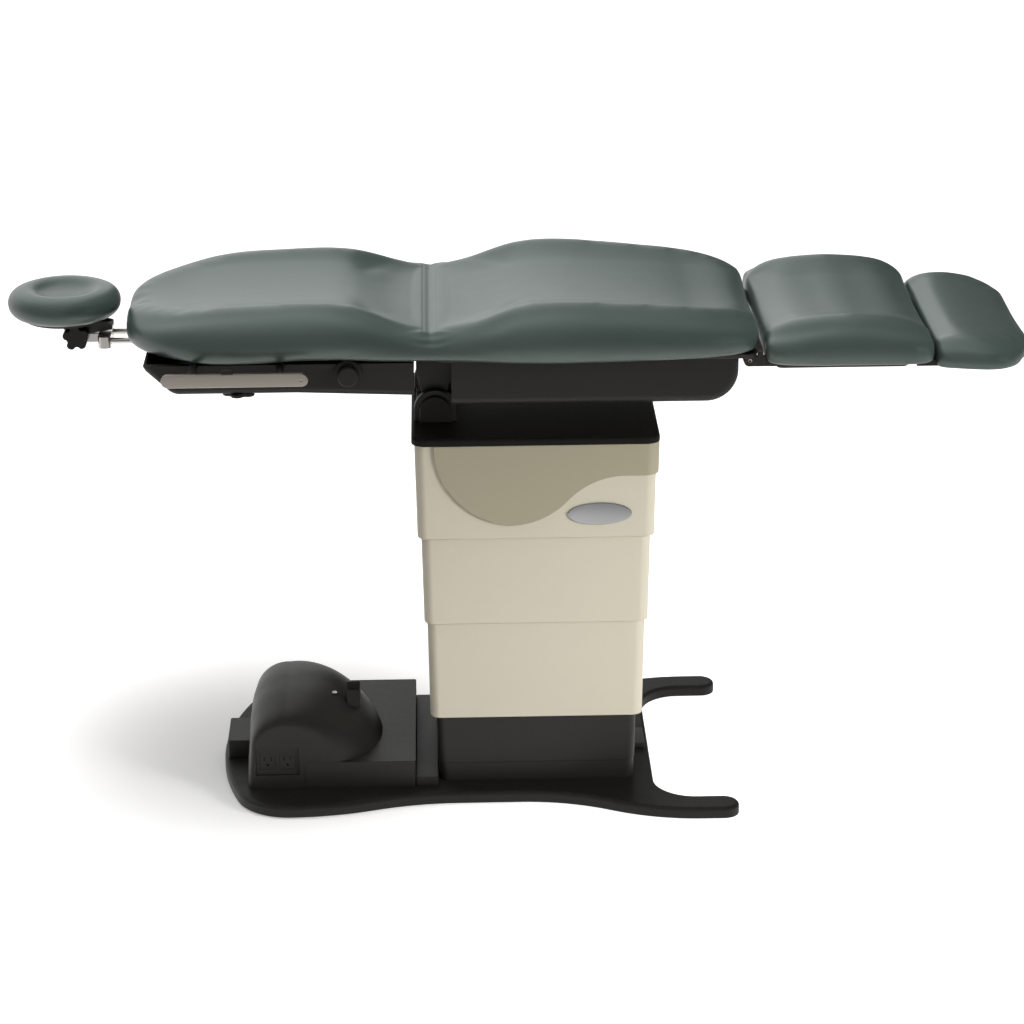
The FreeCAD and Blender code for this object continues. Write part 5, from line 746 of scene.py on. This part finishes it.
RAIL_SCREW_RADIUS = 3.6 * MM
CLIP_ALONG = 0.45
CLIP_HALF = 11.0 * MM
CLIP_BACK = 8.5 * MM
CLIP_FRONT = 1.5 * MM
CLIP_SINK = 1.0 * MM
CLIP_RISE = 7.0 * MM
CLIP_CORNER = 1.2 * MM
PIVOT_SCREW_RADIUS = 4.2 * MM
FOOT_PIVOT = (431.0 * MM, 199.0 * MM, 888.0 * MM)

rail_low, rail_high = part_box("side_rails")
rail_middle = (rail_low.z + rail_high.z) / 2
rail_end = rail_high.x - (rail_high.z - rail_low.z) / 2
clip_x = rail_low.x + CLIP_ALONG * (rail_high.x - rail_low.x)
for side_name, way in (("near", -1), ("far", 1)):
    rail_screw = screw_head((rail_end, way * rail_high.y, rail_middle), (0, way, 0), RAIL_SCREW_RADIUS)
    trim_piece(f"rail_screw_{side_name}", rail_screw, "steel", "back")
    clip_y = sorted((way * (rail_high.y - CLIP_BACK), way * (rail_high.y - CLIP_FRONT)))
    clip = block((clip_x - CLIP_HALF, clip_y[0], rail_high.z - CLIP_SINK),
                 (clip_x + CLIP_HALF, clip_y[1], rail_high.z + CLIP_RISE), CLIP_CORNER)
    trim_piece(f"rail_clip_{side_name}", clip, "black_plastic", "back")
    pivot_x, pivot_y, pivot_z = FOOT_PIVOT
    pivot_screw = screw_head((pivot_x, way * pivot_y, pivot_z), (0, way, 0), PIVOT_SCREW_RADIUS)
    trim_piece(f"foot_pivot_screw_{side_name}", pivot_screw, "steel", "foot")

BEZEL_WIDTH = 1.3 * MM
BEZEL_RADIUS = 6.2 * MM
BEZEL_DROP = 1.6 * MM

lamp_low, lamp_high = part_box("indicator_lamp")
lamp_middle = (lamp_low + lamp_high) / 2
bezel_place = Matrix.Translation((lamp_middle.x + BEZEL_RADIUS, lamp_middle.y, lamp_high.z - BEZEL_DROP))
bezel = bmesh.new()
bmesh.ops.create_circle(bezel, segments=10, radius=BEZEL_WIDTH,
                        matrix=bezel_place @ Matrix.Rotation(math.pi / 2, 4, "X"))
bmesh.ops.spin(bezel, geom=bezel.edges[:], cent=lamp_middle, axis=(0.0, 0.0, 1.0), angle=2.0 * math.pi, steps=32,
               use_merge=True)
bmesh.ops.recalc_face_normals(bezel, faces=bezel.faces)
trim_piece("lamp_bezel", bezel, "black_plastic", BODY_OF["indicator_lamp"])

OUTLET_OFFSET = 19.05 * MM
SLOT_OFFSET = 5.2 * MM
SLOT_HALF = 1.1 * MM
SLOT_PROUD = 0.2 * MM
SLOT_SINK = 1.0 * MM
SLOT_FOOT = 0.5 * MM
SLOT_TOP = 8.5 * MM
SLOT_CORNER = 0.3 * MM

face_low, face_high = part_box("outlet_faces")
face_middle = (face_low + face_high) / 2
# The outlet slots are thin dark blocks set proud of the outlet faces where the real slots are holes: their dark
# matte colour is painted shade of the holes' insides.
slots = bmesh.new()
for outlet in (-1, 1):
    for hole in (-1, 1):
        slot_x = face_middle.x + outlet * OUTLET_OFFSET + hole * SLOT_OFFSET
        slot_shape = block((slot_x - SLOT_HALF, face_low.y - SLOT_PROUD, face_middle.z + SLOT_FOOT),
                           (slot_x + SLOT_HALF, face_low.y + SLOT_SINK, face_middle.z + SLOT_TOP), SLOT_CORNER)
        slot_mesh = to_mesh(slot_shape, "outlet_slot")
        slots.from_mesh(slot_mesh)
        bpy.data.meshes.remove(slot_mesh)
trim_piece("outlet_slots", slots, "glide_rubber", BODY_OF["outlet_faces"])

RAIL_DEPTH = 10.5 * MM

rails = bpy.data.objects["side_rails_rounded"].data
rails.materials.append(FINISHES["black_plastic"])
for face in rails.polygons:
    if abs(face.center.y) < rail_high.y - RAIL_DEPTH:
        face.material_index = 1


# Stage, light and camera

# Left of the pump the floor glows less for the camera: a painted shadow, which adds to the lamps' real shadow of
# the chair.
PAINTED_SHADOW_CENTRE = (-0.5, 0.08, 0.0)
PAINTED_SHADOW_REACH = (0.12, 0.84)
PAINTED_SHADOW_GLOW = (0.22, 1.0)
GLOSS_REACH = (-2.5, -1.1)
GLOSS_GLOW = (0.2, 0.9)
GLOSS_SIDE = (0.3, 1.0)
GLOSS_SHARE = (0.75, 0.3)
SIDE_TURN = (0.06, 0.17)
SIDE_GLOW = (1.0, 0.05)
FRONT_TURN = (-0.3, 0.75)
FRONT_GLOW = (0.4, 1.1)
WORLD_FILL = 0.22
FLOOR_HALF = 30.0
FLOOR_COLOUR = (0.8, 0.79, 0.78, 1.0)
TOP_LIGHT = {"place": (-0.2, 0.3, 3.8), "target": (0.0, 0.0, 0.6), "wide": 4.2, "deep": 3.0, "power": 96.0}
KEY_LIGHT = {"place": (2.4, -1.8, 1.2), "target": (-0.15, 0.0, 0.15), "wide": 1.2, "deep": 1.2, "power": 4.8,
             "spread": math.radians(40)}


def stage_floor():
    """White floor that glows less in a disc near the pump, so that the chair's soft shadow stays there; the dimmer
    disc is also a painted shadow of its own.
    """
    shape = bmesh.new()
    bmesh.ops.create_grid(shape, x_segments=1, y_segments=1, size=FLOOR_HALF)
    floor = new_object("studio_floor", to_mesh(shape, "studio_floor"))
    material = bpy.data.materials.new("studio_white")
    material.use_nodes = True
    tree = material.node_tree
    tree.nodes.clear()
    out = tree.nodes.new("ShaderNodeOutputMaterial")
    diffuse = tree.nodes.new("ShaderNodeBsdfDiffuse")
    diffuse.inputs["Color"].default_value = FLOOR_COLOUR
    place = tree.nodes.new("ShaderNodeTexCoord")
    distance = tree.nodes.new("ShaderNodeVectorMath")
    distance.operation = "DISTANCE"
    distance.inputs[1].default_value = PAINTED_SHADOW_CENTRE
    wire(tree, place, "Object", distance, 0)
    # painted shadow: the glow seen by the camera drops towards the disc's centre
    painted_shadow = map_range(tree, (distance, "Value"), PAINTED_SHADOW_REACH, PAINTED_SHADOW_GLOW)
    split = tree.nodes.new("ShaderNodeSeparateXYZ")
    wire(tree, place, "Object", split, 0)
    mirror = map_range(tree, (split, "Y"), GLOSS_REACH, GLOSS_GLOW)
    glow = tree.nodes.new("ShaderNodeEmission")
    rays = tree.nodes.new("ShaderNodeLightPath")
    seen = math_node(tree, "MAXIMUM", (rays, "Is Camera Ray"), (rays, "Is Transmission Ray"))
    direct = math_node(tree, "MULTIPLY", (seen, 0), (painted_shadow, 0))
    sideways = map_range(tree, (split, "X"), GLOSS_SIDE, GLOSS_SHARE)
    reflected = math_node(tree, "MULTIPLY", (mirror, 0), (sideways, 0))
    gloss = math_node(tree, "MULTIPLY", (rays, "Is Glossy Ray"), (reflected, 0))
    strength = math_node(tree, "MAXIMUM", (direct, 0), (gloss, 0))
    wire(tree, strength, 0, glow, "Strength")
    both = tree.nodes.new("ShaderNodeAddShader")
    wire(tree, diffuse, 0, both, 0)
    wire(tree, glow, 0, both, 1)
    wire(tree, both, 0, out, "Surface")
    floor.data.materials.append(material)


def studio_world():
    """White surroundings for the camera, uneven ones for reflections, and a weak fill light."""
    world = bpy.data.worlds.new("studio")
    bpy.context.scene.world = world
    world.use_nodes = True
    tree = world.node_tree
    background = tree.nodes["Background"]
    background.inputs["Color"].default_value = (1.0, 1.0, 1.0, 1.0)
    place = tree.nodes.new("ShaderNodeTexCoord")
    split = tree.nodes.new("ShaderNodeSeparateXYZ")
    wire(tree, place, "Generated", split, 0)
    side = map_range(tree, (split, "X"), SIDE_TURN, SIDE_GLOW)
    front = map_range(tree, (split, "Y"), FRONT_TURN, FRONT_GLOW)
    backdrop = math_node(tree, "MULTIPLY", (side, 0), (front, 0))
    rays = tree.nodes.new("ShaderNodeLightPath")
    camera_seen = math_node(tree, "MAXIMUM", (rays, "Is Camera Ray"), (rays, "Is Transmission Ray"))
    gloss = math_node(tree, "MULTIPLY", (rays, "Is Glossy Ray"), (backdrop, 0))
    seen = math_node(tree, "MAXIMUM", (camera_seen, 0), (gloss, 0))
    matt = math_node(tree, "SUBTRACT", 1.0, (rays, "Is Glossy Ray"))
    fill = math_node(tree, "MULTIPLY", (matt, 0), WORLD_FILL)
    strength = math_node(tree, "MAXIMUM", (seen, 0), (fill, 0))
    wire(tree, strength, 0, background, "Strength")


def soft_box(name, place, target, wide, deep, power, spread=math.pi):
    """Rectangular lamp that faces a point, with its light held within a spread."""
    lamp = bpy.data.lights.new(name, "AREA")
    lamp.shape = "RECTANGLE"
    lamp.size = wide
    lamp.size_y = deep
    lamp.energy = power
    lamp.spread = spread
    obj = bpy.data.objects.new(name, lamp)
    bpy.context.scene.collection.objects.link(obj)
    aim = Vector(target) - Vector(place)
    obj.matrix_world = Matrix.Translation(place) @ aim.to_track_quat("-Z", "Y").to_matrix().to_4x4()
    obj.visible_glossy = False


CAMERA_PLACE = (-0.1454, -5.640, 2.685)
CAMERA_PITCH = math.radians(21.0)
CAMERA_YAW = math.radians(1.41)
CAMERA_ROLL = math.radians(0.37)
FOCAL_PIXELS = 3100.0
PICTURE_PIXELS = 1024.0
SENSOR = 36.0
FAR_CLIP = 100.0


def photo_camera():
    """Camera at the photograph's viewing angle."""
    camera = bpy.data.cameras.new("photo_camera")
    camera.sensor_width = SENSOR
    camera.sensor_fit = "HORIZONTAL"
    camera.lens = FOCAL_PIXELS / PICTURE_PIXELS * SENSOR
    camera.clip_end = FAR_CLIP
    obj = bpy.data.objects.new("photo_camera", camera)
    bpy.context.scene.collection.objects.link(obj)
    turn = (Matrix.Rotation(-CAMERA_YAW, 4, "Z") @ Matrix.Rotation(math.pi / 2 - CAMERA_PITCH, 4, "X")
            @ Matrix.Rotation(-CAMERA_ROLL, 4, "Z"))
    obj.matrix_world = Matrix.Translation(CAMERA_PLACE) @ turn
    bpy.context.scene.camera = obj


stage_floor()
studio_world()
soft_box("top_light", **TOP_LIGHT)
soft_box("key_light", **KEY_LIGHT)
photo_camera()
bpy.context.scene.view_settings.view_transform = "Standard"
